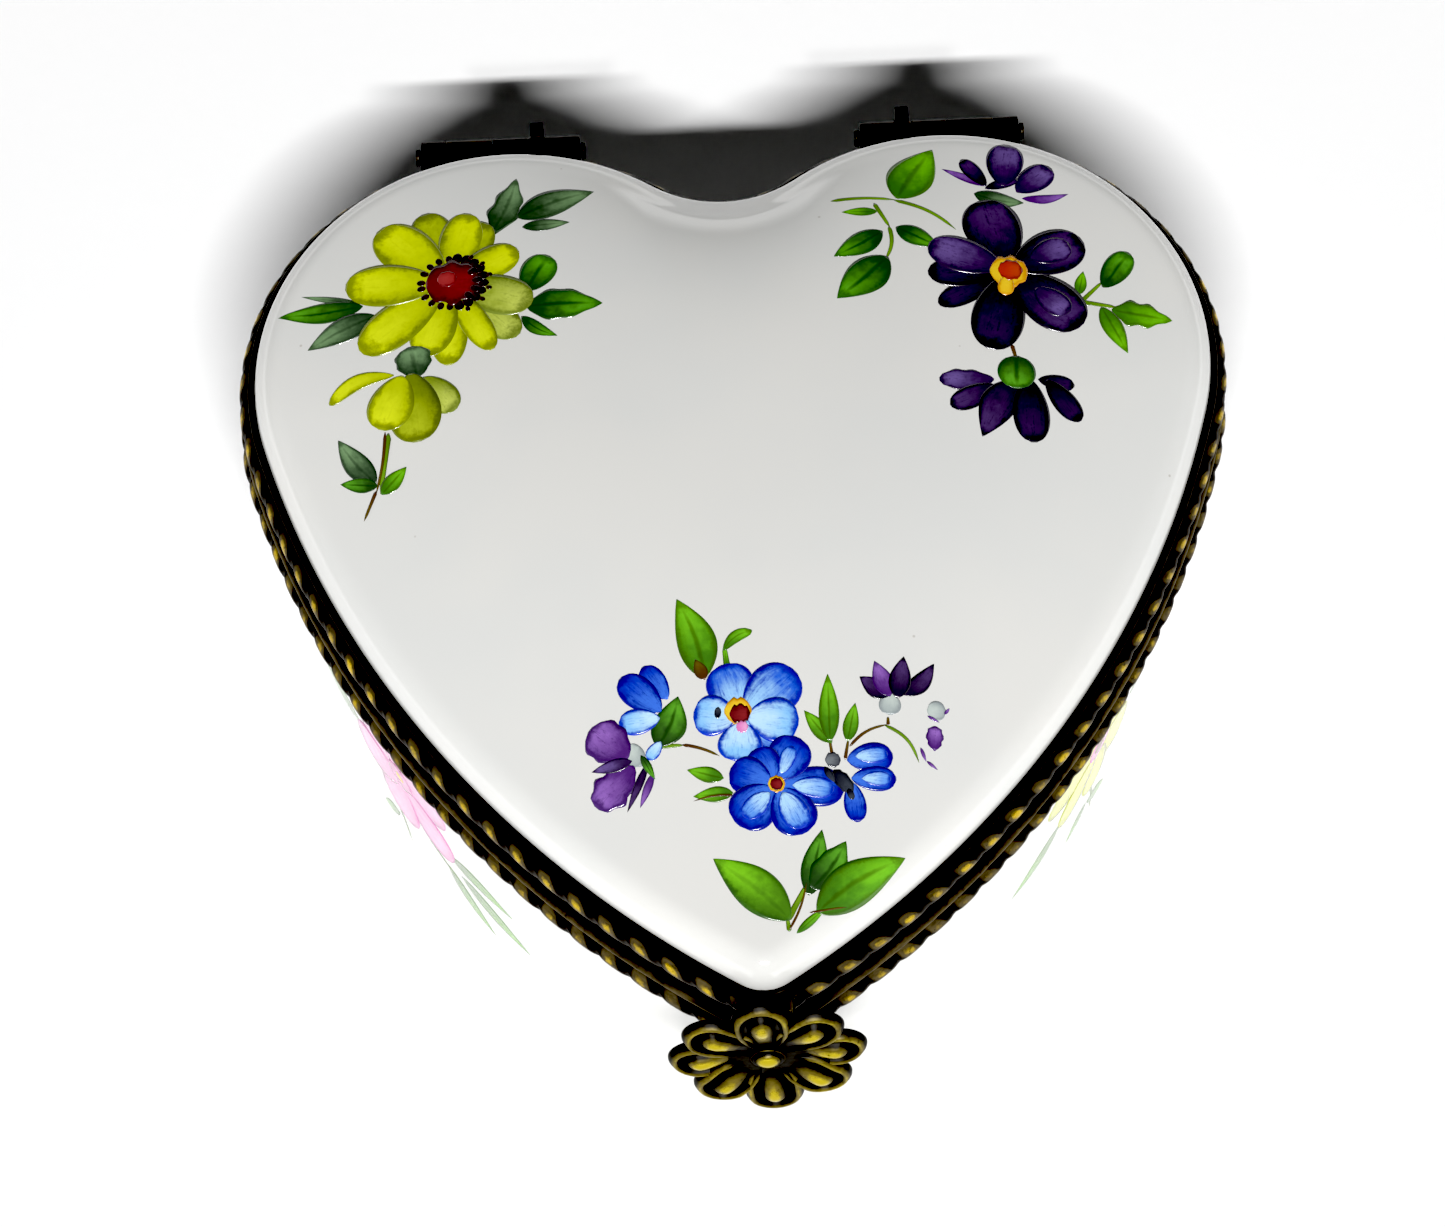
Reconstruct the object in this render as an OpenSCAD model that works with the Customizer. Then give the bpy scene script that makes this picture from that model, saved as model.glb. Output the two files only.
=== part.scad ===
// Heart-shaped porcelain trinket box with brass mounts, a lid on two hinges and a flower clasp.
// Millimetres. +X is right, +Y is to the back and +Z is up. The origin lies under the middle of
// the box, on the plane that the foot rests on. Offsets named *_in are measured inwards from the
// outermost heart, which is the outer edge of the base's rope moulding.

/* [Heart outline] */
// Radius of each lobe
lobe_r = 16.9; // [16.5:0.1:17.5]
// Distance of each lobe's centre from the centreline
lobe_x = 13.1; // [12.6:0.1:13.5]
// Distance from the lobes' centres forward to the centre of the tip's arc
tip_fwd = 38.5; // [37:0.5:40]
// Radius of the tip
tip_r = 3.6; // [3.5:0.1:4.2]
// Radius of the long sides
side_r = 63.8; // [60:0.5:68]
// Radius of the notch between the lobes
notch_r = 6.4; // [6:0.2:7.4]

/* [Porcelain] */
// Height of the base cup
cup_h = 21.4; // [20:0.2:24]
// Thickness of the cup's wall
cup_wall = 2.4; // [2:0.1:3]
// Thickness of the cup's floor above the recess
cup_floor = 2.2; // [1.8:0.1:3]
// Height of the foot ring's recess
foot_recess = 0.8; // [0.5:0.1:1.2]
// How far the cup's foot stands in from its mouth
foot_taper = 0.65; // [0.4:0.05:1]
// Rise of the lid's crown above its shoulder
crown_h = 3.2; // [2.4:0.1:4]
// Height of the lid's rolled shoulder
shoulder_h = 2.0; // [1.6:0.1:2.4]
// Thickness of the lid
lid_wall = 2.2; // [1.8:0.1:2.6]

/* [Brass mounts] */
// Thickness of the bezels
bezel_t = 0.45; // [0.4:0.05:0.6]
// How far the bezel's skirt stands in from the rope moulding's edge
skirt_in = 0.75; // [0.65:0.05:0.9]
// Width of the flange that the porcelain is bedded on
flange_w = 2.7; // [2.2:0.1:3]
// Depth of the base bezel's skirt
base_skirt = 3.25; // [3.2:0.05:3.6]
// Depth of the lid bezel's skirt
lid_skirt = 2.7; // [2.6:0.05:3]
// Height of a rope moulding
rope_h = 1.3; // [1.1:0.05:1.4]
// Thickness of the bedding plaster
bed_t = 0.25; // [0.2:0.05:0.4]
// Gap between the closed bezels
parting = 0.12; // [0.1:0.02:0.2]

/* [Hinges] */
// Distance of a hinge's inner end from the centreline
hinge_x = 8.7; // [8.4:0.1:9]
// Radius of the knuckles
knuckle_r = 0.95; // [0.85:0.05:1]
// Radius of the hinge pins
pin_r = 0.4; // [0.35:0.05:0.45]
// Angle at which the lid meets its stops
open_deg = 100; // [95:1:105]

/* [Clasp] */
// Radius of the flower over its petals
flower_r = 5.8; // [5.4:0.1:6]
// Number of petals
petals = 8; // [6:1:8]
// Backward lean of the flower
flower_lean = 5; // [3:0.5:6]
// Turn of the flower in its own plane
flower_turn = 10; // [0:1:20]
// Width of the clasp's spring tongue
tongue_w = 3.0; // [2.4:0.1:3.6]
// Thickness of the tongue
tongue_t = 0.35; // [0.3:0.05:0.4]

/* [Hidden] */
$fn = 48;

porcelain = "white";
plaster = "gainsboro";
brass = "darkgoldenrod";

joint_gap = 0.02;       // film between bonded pieces
run_gap = 0.1;          // gap between knuckles, and around the tongue
pin_fit = 0.04;         // radial clearance of a pin in the lid's knuckles
press = 0.01;           // radial grip of a pin in the base's knuckles
tip_min = 1.2;          // smallest radius of an inner tip
arc_steps = [4, 7, 14, 4];   // points on the tip's, side's, lobe's and notch's half arcs

// Heights, from the resting plane up
base_web_z = cup_h + bed_t;              // underside of the base bezel's flange
base_top_z = base_web_z + bezel_t;       // top of the base bezel
axis_z = base_top_z + parting / 2;       // hinge axis, in the parting
lid_low_z = base_top_z + parting;        // underside of the lid bezel
lid_web_z = lid_low_z + bezel_t;         // top of the lid bezel's flange
lid_rim_z = lid_web_z + bed_t;           // underside of the lid's porcelain
lid_edge_z = lid_low_z + lid_skirt;      // top edge of the lid bezel
shoulder_z = lid_edge_z + shoulder_h;    // top of the rolled shoulder
skirt_low_z = base_top_z - base_skirt;   // lower edge of the base bezel
base_rope_z = skirt_low_z + 0.15;        // underside of the base rope
lid_rope_z = lid_low_z + 0.7;            // underside of the lid rope
bead_z = base_rope_z + rope_h + 0.35;    // underside of the base bezel's plain bead
bead_h = 0.6;
bead_in = 0.25;
lid_rope_in = 0.2;

// Offsets inwards from the outermost heart
skirt_back_in = skirt_in + bezel_t;      // inner face of the skirts
shell_in = skirt_back_in + joint_gap;    // outside of the porcelain inside the skirts
cup_in = shell_in + cup_wall;            // inside of the cup's mouth
flange_in = skirt_in + bezel_t + flange_w;

// Depths, measured from the lobes' centres before the whole box is centred
back_y = lobe_r;                         // back of the outermost heart
tip_y = -tip_fwd - tip_r;                // front of the outermost heart
axis_y = back_y + knuckle_r;
tongue_y = tip_y - run_gap - joint_gap;  // back face of the tongue
petal_t = 0.9;
hub_t = 0.35;
flower_y = tongue_y - tongue_t - joint_gap;   // back of the flower's hub
flower_z = axis_z - 1.3;
petal_top = hub_t + petal_t - 0.2;       // face of the petals above the flower's back
centre_r = 0.95;
centre_base = petal_top + joint_gap;     // where the centre bead sits
centre_sunk = 0.4;                       // how far the bead's own centre lies below its seat
front_y = flower_y - (centre_base - centre_sunk) * cos(flower_lean) - centre_r;
lug_reach = knuckle_r + 0.35;            // back of the stop lugs, behind the hinge axis
middle_y = (front_y + axis_y + lug_reach) / 2;
pivot_z = lid_rope_z + 0.9;              // where the tongue bends

// Hinge knuckles: from, to, along X from the hinge's inner end; even ones are the base's
knuckle_at = [[0, 3.15], [3.25, 5.35], [5.45, 8.25], [8.35, 9.8]];
hinge_w = knuckle_at[3][1];

// ---- Heart outline -------------------------------------------------------------------------

function heading(v) = atan2(v[1], v[0]);

// Centre of the right side's arc: inside both the tip's arc and the right lobe's arc
function side_centre() =
    let (tip = [0, -tip_fwd], lobe = [lobe_x, 0])
    let (a = side_r - tip_r, b = side_r - lobe_r, span = norm(lobe - tip))
    let (along = (a * a - b * b + span * span) / (2 * span), u = (lobe - tip) / span)
    tip + along * u + sqrt(a * a - along * along) * [-u[1], u[0]];

function arc(c, r, a0, a1, steps) =
    [for (i = [0 : steps - 1]) let (a = a0 + (a1 - a0) * i / steps) c + r * [cos(a), sin(a)]];

// Right half of the heart that lies "inset" inside the outermost one, from the tip to the notch
function half_heart(inset) =
    let (side = side_centre(), lobe = [lobe_x, 0], r_side = side_r - inset)
    let (r_tip = max(tip_r - inset, tip_min))
    let (tip = [0, side[1] - sqrt(pow(r_side - r_tip, 2) - pow(side[0], 2))])
    let (notch = [0, sqrt(pow(lobe_r + notch_r, 2) - pow(lobe_x, 2))], r_notch = notch_r + inset)
    let (a_tip = heading(tip - side), a_lobe = heading(lobe - side))
    concat(arc(tip, r_tip, -90, a_tip, arc_steps[0]),
           arc(side, r_side, a_tip, a_lobe, arc_steps[1]),
           arc(lobe, lobe_r - inset, a_lobe, heading(notch - lobe), arc_steps[2]),
           arc(notch, r_notch, heading(lobe - notch), -90, arc_steps[3]),
           [[0, notch[1] - r_notch]]);

function heart(inset) =
    let (half = half_heart(inset))
    concat(half, [for (i = [len(half) - 2 : -1 : 1]) [-half[i][0], half[i][1]]]);

// One level of a shell: the heart at an inset and a height, scaled about the lid's middle
focus = [0, -8];
function level(inset, z, scale = 1) =
    [for (p = heart(inset)) let (q = focus + scale * (p - focus)) [q[0], q[1], z]];

// Skin over a stack of levels; "ring" joins the last level to the first, otherwise both are capped
module skin(levels, ring = false) {
    n = len(levels[0]);
    m = len(levels);
    last = ring ? m - 1 : m - 2;
    sides = [for (k = [0 : last], i = [0 : n - 1])
        let (up = (k + 1) % m, next = (i + 1) % n)
        [k * n + i, up * n + i, up * n + next, k * n + next]];
    caps = ring ? [] : [[for (i = [0 : n - 1]) i], [for (i = [n - 1 : -1 : 0]) (m - 1) * n + i]];
    polyhedron(points = [for (l = levels) each l], faces = concat(sides, caps), convexity = 6);
}

// Ring whose section is a closed outline of [inset, height] points, taken anticlockwise
module moulding(section) {
    skin([for (p = section) level(p[0], p[1])], ring = true);
}

module heart_block(inset, z0, z1) {
    translate([0, 0, z0]) linear_extrude(z1 - z0) polygon(heart(inset));
}

// Section of a half-round bead that stands out from a wall
function bead_section(wall_in, edge_in, z0, h) =
    let (steps = 5)
    concat([[wall_in, z0]],
           [for (i = [0 : steps - 1])
               let (a = -72 + 144 * i / (steps - 1))
               [wall_in - (wall_in - edge_in) * cos(a), z0 + h / 2 + h / 2 * sin(a)]],
           [[wall_in, z0 + h]]);

module centred() { translate([0, -middle_y, 0]) children(); }

// ---- Porcelain -----------------------------------------------------------------------------

module base_shell() {
    foot_in = shell_in + foot_taper;
    floor_z = foot_recess + cup_floor;
    color(porcelain) centred() skin([
        level(foot_in + 4.2, foot_recess),
        level(foot_in + 3.5, 0),
        level(foot_in + 1.4, 0),
        level(foot_in + 0.5, 0.5),
        level(foot_in + 0.1, 1.5),
        level(foot_in, 3.5),
        level(foot_in - foot_taper * 0.55, 12),
        level(shell_in, skirt_low_z - 0.4),
        level(shell_in, cup_h),
        level(cup_in - 0.3, cup_h),
        level(cup_in, cup_h - 0.4),
        level(cup_in + foot_taper * 0.6, 12),
        level(cup_in + foot_taper, floor_z + 2.4),
        level(cup_in + foot_taper + 0.8, floor_z + 0.7),
        level(cup_in + foot_taper + 2.6, floor_z)]);
}

// Height of the crown over a ring that is the shoulder's scaled by s
function crown_z(s) = shoulder_z + crown_h * (1 - pow(s, 2.5));

module lid_shell() {
    shoulder_in = shell_in + 1.8;
    under_in = shell_in + lid_wall + 0.6;
    rings = [1, 0.84, 0.64, 0.4, 0.16];
    inner = [for (i = [len(rings) - 1 : -1 : 1]) level(under_in, crown_z(rings[i]) - lid_wall, rings[i])];
    outer = [for (i = [1 : len(rings) - 1]) level(shoulder_in, crown_z(rings[i]), rings[i])];
    color(porcelain) centred() skin(concat(inner, [
        level(under_in, shoulder_z - lid_wall - 0.4),
        level(under_in - 0.5, lid_rim_z + 0.6),
        level(under_in - 0.7, lid_rim_z),
        level(shell_in, lid_rim_z),
        level(shell_in, lid_edge_z - 0.1),
        level(shell_in + 0.2, lid_edge_z + shoulder_h * 0.35),
        level(shell_in + 0.8, lid_edge_z + shoulder_h * 0.75),
        level(shoulder_in, shoulder_z)], outer));
}

// ---- Bedding plaster -------------------------------------------------------------------------

module bed(z0) {
    color(plaster) centred() moulding([
        [shell_in + cup_wall - 0.5, z0 + joint_gap], [shell_in + 0.2, z0 + joint_gap],
        [shell_in + 0.2, z0 + bed_t - joint_gap], [shell_in + cup_wall - 0.5, z0 + bed_t - joint_gap]]);
}

module base_cement() { bed(cup_h); }

module lid_cement() { bed(lid_web_z); }

// ---- Bezels and mouldings --------------------------------------------------------------------

module base_bezel() {
    bead = bead_section(skirt_in, bead_in, bead_z, bead_h);
    color(brass) centred() moulding(concat(
        [[flange_in, base_web_z], [skirt_back_in, base_web_z], [skirt_back_in, skirt_low_z],
         [skirt_in, skirt_low_z]],
        bead,
        [[skirt_in, base_top_z], [flange_in, base_top_z]]));
}

module lid_bezel() {
    color(brass) centred() moulding([
        [flange_in, lid_low_z], [skirt_in, lid_low_z], [skirt_in, lid_edge_z - 0.25],
        [skirt_in + 0.15, lid_edge_z], [skirt_back_in, lid_edge_z], [skirt_back_in, lid_web_z],
        [flange_in, lid_web_z]]);
}

module base_rope() {
    color(brass) centred() moulding(bead_section(skirt_in - joint_gap, 0, base_rope_z, rope_h));
}

module lid_rope() {
    color(brass) centred() difference() {
        moulding(bead_section(skirt_in - joint_gap, lid_rope_in, lid_rope_z, rope_h));
        for (side = [-1, 1]) {
            translate([side * (hinge_x + hinge_w / 2), back_y - 1.5, lid_rope_z + rope_h / 2])
                cube([hinge_w + 0.4, 6, rope_h + 1], center = true);
        }
        translate([0, tip_y, lid_rope_z + rope_h / 2])
            cube([tongue_w + 0.2, 4, rope_h + 1], center = true);
    }
}

// ---- Hinges, drawn on the right and mirrored to the left ----------------------------------------

module on_side(side) { centred() mirror([side < 0 ? 1 : 0, 0, 0]) children(); }

module along_x(x0, x1, r) {
    translate([hinge_x + x0, axis_y, axis_z]) rotate([0, 90, 0]) cylinder(r = r, h = x1 - x0);
}

// A leaf's plate between the skirt and the pin line, with its knuckles bored for the pin
module leaf(x0, x1, z0, z1, own, other, wall_in, bore_r) {
    difference() {
        union() {
            translate([hinge_x + x0, back_y - 2.2, z0]) cube([x1 - x0, axis_y - back_y + 2.2, z1 - z0]);
            for (k = own) along_x(knuckle_at[k][0], knuckle_at[k][1], knuckle_r);
        }
        for (k = other)
            along_x(knuckle_at[k][0] - run_gap, knuckle_at[k][1] + run_gap, knuckle_r + run_gap);
        along_x(-1, hinge_w + 1, bore_r);
        heart_block(wall_in, z0 - 1, z1 + 1);
    }
}

module hinge_base_leaf() {
    color(brass) leaf(0, knuckle_at[2][1], bead_z + bead_h + 0.05, base_top_z - 0.05, [0, 2], [1, 3],
                      skirt_in - joint_gap, pin_r - press);
}

module hinge_lid_leaf() {
    color(brass) leaf(knuckle_at[1][0], hinge_w, lid_low_z + 0.05, axis_z + knuckle_r + 0.2, [1, 3], [0, 2],
                      skirt_in - joint_gap, pin_r + pin_fit);
}

module hinge_pin() {
    color(brass) union() {
        along_x(-0.1, hinge_w + 0.1, pin_r);
        along_x(hinge_w + 0.1, hinge_w + 0.35, pin_r + 0.12);
        along_x(-0.35, -0.1, pin_r + 0.12);
    }
}

// The lug stands behind the base's inner knuckle, and its top meets the lid's skirt at open_deg
module stop_lug() {
    past = open_deg - 90;
    reach = axis_y - back_y + skirt_in;
    along = (lug_reach - reach * sin(past)) / cos(past);
    top = reach * cos(past) - along * sin(past) - run_gap;
    color(brass) difference() {
        translate([hinge_x + 2.2, axis_y + 0.25, axis_z - 0.5]) cube([0.8, lug_reach - 0.25, top + 0.5]);
        along_x(0, 3.2, knuckle_r + joint_gap);
    }
}

module hinge_base_leaf_left() { on_side(-1) hinge_base_leaf(); }
module hinge_base_leaf_right() { on_side(1) hinge_base_leaf(); }
module hinge_lid_leaf_left() { on_side(-1) hinge_lid_leaf(); }
module hinge_lid_leaf_right() { on_side(1) hinge_lid_leaf(); }
module hinge_pin_left() { on_side(-1) hinge_pin(); }
module hinge_pin_right() { on_side(1) hinge_pin(); }
module stop_lug_left() { on_side(-1) stop_lug(); }
module stop_lug_right() { on_side(1) stop_lug(); }

// ---- Clasp -----------------------------------------------------------------------------------

module forward(y0, y1, z, r) {
    translate([0, y0, z]) rotate([90, 0, 0]) cylinder(r = r, h = y0 - y1);
}

// Nose on the base bezel that the tongue's hollow snaps over
stud_z = (bead_z + bead_h + base_top_z) / 2;
module catch_stud() {
    color(brass) centred() forward(tip_y + skirt_in - joint_gap, tongue_y + 0.05, stud_z, 0.28);
}

// Block on the lid bezel that carries the tongue
module clasp_bracket() {
    front = tongue_y + joint_gap;
    color(brass) centred() difference() {
        translate([-tongue_w / 2, front, pivot_z - 0.8])
            cube([tongue_w, tip_y - front + 3, 1.7]);
        heart_block(skirt_in - joint_gap, pivot_z - 2, pivot_z + 2);
    }
}

module clasp_tongue() {
    low = flower_z - 2.6;
    color(brass) centred() difference() {
        translate([-tongue_w / 2, tongue_y - tongue_t, low])
            cube([tongue_w, tongue_t, pivot_z + 0.8 - low]);
        forward(tongue_y + 1, tongue_y - 1, flower_z, 0.46);
        forward(tongue_y + 1, tongue_y - 0.15, stud_z, 0.5);
    }
}

// Flower lying in XY and facing +Z, before it is stood up against the tongue
module standing_flower() {
    translate([0, flower_y, flower_z]) rotate([90 - flower_lean, 0, 0]) rotate([0, 0, flower_turn])
        children();
}

module petal_outline() {
    petal_r = flower_r * 0.3;
    translate([0, flower_r - petal_r]) circle(r = petal_r);
    polygon([[-0.5, 0.8], [0.5, 0.8], [petal_r * 0.9, flower_r - petal_r * 1.4],
             [-petal_r * 0.9, flower_r - petal_r * 1.4]]);
}

module clasp_flower() {
    color(brass) centred() difference() {
        standing_flower() {
            translate([0, 0, hub_t]) linear_extrude(petal_top - hub_t) {
                circle(r = 2.2);
                for (i = [0 : petals - 1]) rotate(i * 360 / petals) petal_outline();
            }
            translate([0, 0, 0.12]) cylinder(r = 1.3, h = hub_t);
            intersection() {
                for (i = [0 : petals - 1]) rotate(i * 360 / petals)
                    translate([0, flower_r * 0.68, hub_t + petal_t - 1]) sphere(r = 1);
                translate([-flower_r, -flower_r, petal_top - 0.3]) cube([2 * flower_r, 2 * flower_r, 1]);
            }
        }
        forward(flower_y + 2, flower_y - hub_t - petal_t - 2, flower_z, 0.46);
        // The back is filed flat to lie against the tongue
        translate([-flower_r - 1, flower_y, flower_z - flower_r - 1])
            cube([2 * flower_r + 2, 2, 2 * flower_r + 2]);
    }
}

module clasp_centre() {
    color(brass) centred() standing_flower() intersection() {
        translate([0, 0, centre_base - centre_sunk]) sphere(r = centre_r);
        translate([-1, -1, centre_base]) cube([2, 2, 1]);
    }
}

module clasp_rivet() {
    color(brass) centred() forward(tongue_y, flower_y - hub_t - petal_t + 0.3, flower_z, 0.44);
}

base_shell();
base_cement();
base_bezel();
base_rope();
lid_shell();
lid_cement();
lid_bezel();
lid_rope();
hinge_base_leaf_left();
hinge_base_leaf_right();
hinge_lid_leaf_left();
hinge_lid_leaf_right();
hinge_pin_left();
hinge_pin_right();
stop_lug_left();
stop_lug_right();
catch_stud();
clasp_bracket();
clasp_tongue();
clasp_flower();
clasp_centre();
clasp_rivet();
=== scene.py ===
"""Looks of the heart-shaped porcelain trinket box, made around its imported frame.

Sizes are in millimetres up to the moment a piece is finished, when its mesh is brought to metres.
+X is right, +Y is to the back where the hinges are, +Z is up, and the box rests on z = 0.
"""

import logging
import math
from dataclasses import dataclass
from enum import Enum
from functools import lru_cache
from typing import Callable, Optional, Sequence, Union

import bmesh
import bpy
from mathutils import Matrix, Vector, noise
from mathutils.bvhtree import BVHTree


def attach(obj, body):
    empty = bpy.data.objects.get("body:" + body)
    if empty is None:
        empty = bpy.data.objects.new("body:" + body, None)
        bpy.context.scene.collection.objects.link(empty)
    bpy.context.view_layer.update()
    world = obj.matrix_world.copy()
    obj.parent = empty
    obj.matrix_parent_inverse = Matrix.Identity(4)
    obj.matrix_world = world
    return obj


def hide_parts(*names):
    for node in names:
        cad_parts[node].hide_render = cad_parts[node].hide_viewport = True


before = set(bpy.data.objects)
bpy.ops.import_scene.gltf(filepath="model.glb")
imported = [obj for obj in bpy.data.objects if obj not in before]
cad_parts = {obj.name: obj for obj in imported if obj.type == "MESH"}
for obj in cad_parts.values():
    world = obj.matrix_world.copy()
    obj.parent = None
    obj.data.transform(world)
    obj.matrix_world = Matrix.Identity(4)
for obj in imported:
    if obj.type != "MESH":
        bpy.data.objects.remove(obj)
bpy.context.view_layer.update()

LOG = logging.getLogger("trinket_box")
MM = 0.001

Colour = tuple[float, float, float]
Point = tuple[float, float]


def tint(red: float, green: float, blue: float) -> Colour:
    """Linear colour of a shade given as it looks, 0 to 1 in each part."""
    return tuple(c / 12.92 if c < 0.04045 else ((c + 0.055) / 1.055) ** 2.4 for c in (red, green, blue))


def smooth(low: float, high: float, value: float) -> float:
    """Smooth step of a plain number from 0 at low to 1 at high."""
    t = min(1.0, max(0.0, (value - low) / (high - low)))
    return t * t * (3 - 2 * t)


def bump_at(value: float, centre: float, width: float) -> float:
    """Bell curve of height 1 round a centre."""
    return math.exp(-(((value - centre) / width) ** 2))


# ---- Shader maths ------------------------------------------------------------------------------


class Value:
    """A number in a shader. Python's operators on it add Math nodes."""

    def __init__(self, shader: "Shader", socket: bpy.types.NodeSocket) -> None:
        """Wraps a socket.

        Args:
            shader: the shader that the socket belongs to.
            socket: the output that carries the number.
        """
        self.shader = shader
        self.socket = socket

    def _math(self, operation: str, *values: "Number") -> "Value":
        """Adds one Math node over this value and others."""
        inputs = dict(enumerate(values))
        return self.shader.node("ShaderNodeMath", {"operation": operation}, inputs)

    def __add__(self, other: "Number") -> "Value":
        """This plus other."""
        return self._math("ADD", self, other)

    __radd__ = __add__

    def __sub__(self, other: "Number") -> "Value":
        """This minus other."""
        return self._math("SUBTRACT", self, other)

    def __rsub__(self, other: "Number") -> "Value":
        """Other minus this."""
        return self._math("SUBTRACT", other, self)

    def __mul__(self, other: "Number") -> "Value":
        """This times other."""
        return self._math("MULTIPLY", self, other)

    __rmul__ = __mul__

    def __truediv__(self, other: "Number") -> "Value":
        """This over other."""
        return self._math("DIVIDE", self, other)

    def __abs__(self) -> "Value":
        """Size of this without its sign."""
        return self._math("ABSOLUTE", self)

    def most(self, other: "Number") -> "Value":
        """The larger of this and other."""
        return self._math("MAXIMUM", self, other)

    def step(self, low: float, high: float) -> "Value":
        """Smooth rise from 0 at low to 1 at high.

        Args:
            low: where the rise starts.
            high: where it ends.

        Returns:
            The eased value, held between 0 and 1.
        """
        return self.shader.node(
            "ShaderNodeMapRange",
            {"interpolation_type": "SMOOTHSTEP"},
            {"Value": self, "From Min": low, "From Max": high},
            "Result",
        )


Number = Union[Value, float]
Feed = Union[Value, float, Sequence[float], bpy.types.NodeSocket]


class Shader:
    """One material's nodes, ending in a Principled shader."""

    def __init__(self, name: str) -> None:
        """Makes the material with nothing but its shader and output.

        Args:
            name: the material's name.
        """
        self.material = bpy.data.materials.new(name)
        self.material.use_nodes = True
        self.tree = self.material.node_tree
        self.surface = next(n for n in self.tree.nodes if n.type == "BSDF_PRINCIPLED")
        self._place: Optional[bpy.types.NodeSocket] = None

    def node(
        self,
        kind: str,
        settings: Optional[dict[str, object]] = None,
        inputs: Optional[dict[Union[int, str], Feed]] = None,
        output: Union[int, str] = 0,
    ) -> Value:
        """Adds any node.

        Args:
            kind: the node's type.
            settings: properties, set before the sockets.
            inputs: values or links by socket name or number.
            output: the socket that is handed back.

        Returns:
            The wrapped output socket.
        """
        made = self.tree.nodes.new(kind)
        for key, setting in (settings or {}).items():
            setattr(made, key, setting)
        for key, feed in (inputs or {}).items():
            self.feed(made.inputs[key], feed)
        return Value(self, made.outputs[output])

    def feed(self, socket: bpy.types.NodeSocket, feed: Feed) -> None:
        """Links or sets one socket."""
        if isinstance(feed, Value):
            self.tree.links.new(feed.socket, socket)
        elif isinstance(feed, bpy.types.NodeSocket):
            self.tree.links.new(feed, socket)
        elif isinstance(feed, (int, float)):
            socket.default_value = feed
        else:
            feed = tuple(feed)
            socket.default_value = (*feed, 1.0) if socket.type == "RGBA" and len(feed) == 3 else feed

    @property
    def place(self) -> bpy.types.NodeSocket:
        """Object coordinates, in metres."""
        if self._place is None:
            self._place = self.node("ShaderNodeTexCoord", output="Object").socket
        return self._place

    def part(self, vector: Feed, axis: int) -> Value:
        """One part of a vector, 0 to 2."""
        return self.node("ShaderNodeSeparateXYZ", inputs={0: vector}, output=axis)

    def cloud(
        self, scale: float, detail: float = 3.0, rough: float = 0.55, at: Optional[Feed] = None
    ) -> Value:
        """Noise between 0 and 1.

        Args:
            scale: features per metre, or per unit of "at".
            detail: octaves.
            rough: weight of the finer octaves.
            at: the vector it is read at, the place on the piece if none is given.

        Returns:
            The noise.
        """
        feeds = {"Vector": self.place if at is None else at, "Scale": scale, "Detail": detail,
                 "Roughness": rough}
        return self.node("ShaderNodeTexNoise", inputs=feeds, output=0)

    def cells(self, scale: float) -> Value:
        """Distance to the nearest of scattered points."""
        return self.node("ShaderNodeTexVoronoi", inputs={"Vector": self.place, "Scale": scale})

    def attribute(self, name: str, output: str = "Color") -> Value:
        """Colour, or with output "Fac" the number, held by the mesh."""
        return self.node("ShaderNodeAttribute", {"attribute_name": name}, output=output)

    def mix(self, share: Number, low: Feed, high: Feed, blend: str = "MIX") -> Value:
        """Mixes two colours.

        Args:
            share: how much of the second.
            low: the first colour.
            high: the second colour.
            blend: the Mix node's blend type.

        Returns:
            The mixed colour.
        """
        return self.node(
            "ShaderNodeMix",
            {"data_type": "RGBA", "blend_type": blend, "clamp_factor": True},
            {0: share, 6: low, 7: high},
            2,
        )

    def relief(self, height: Value, depth: float, strength: float = 1.0) -> Value:
        """Bump of a given depth in millimetres over a height of 0 to 1."""
        feeds = {"Strength": strength, "Distance": depth * MM, "Height": height}
        return self.node("ShaderNodeBump", inputs=feeds, output="Normal")

    def dress(self, **feeds: Feed) -> bpy.types.Material:
        """Feeds the shader's sockets, named with _ for a space, and hands back the material."""
        for key, feed in feeds.items():
            self.feed(self.surface.inputs[key.replace("_", " ")], feed)
        return self.material


# ---- Finishes ----------------------------------------------------------------------------------


@dataclass(frozen=True)
class Porcelain:
    """Clear glaze over white porcelain, bare where the foot ring stands."""

    body: Colour = tint(0.868, 0.866, 0.853)
    shade: Colour = tint(0.855, 0.857, 0.848)
    bare: Colour = tint(0.86, 0.845, 0.81)
    speck: Colour = tint(0.55, 0.50, 0.44)
    bare_height: float = 0.35

    def make(self) -> bpy.types.Material:
        """Builds the material."""
        s = Shader("porcelain_glaze")
        height = s.part(s.place, 2) / MM
        drift = s.cloud(90, 2)
        foot = 1 - (height + s.cloud(1500, 2) * 0.3).step(self.bare_height, self.bare_height + 0.2)
        specks = 1 - s.cells(260).step(0.012, 0.03)
        colour = s.mix(drift.step(0.3, 0.7), self.body, self.shade)
        colour = s.mix(specks * 0.35, colour, self.speck)
        colour = s.mix(foot, colour, self.bare)
        grain = s.cloud(9000, 2)
        undulation = s.cloud(220, 2, 0.4)
        return s.dress(
            Base_Color=colour,
            Roughness=s.cloud(400, 3) * 0.05 + 0.07 + foot * 0.6,
            IOR=1.54,
            Coat_Weight=(1 - foot) * 0.5,
            Coat_Roughness=0.04,
            Normal=s.relief(undulation * 0.6 + grain * foot, 0.012),
        )


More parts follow.
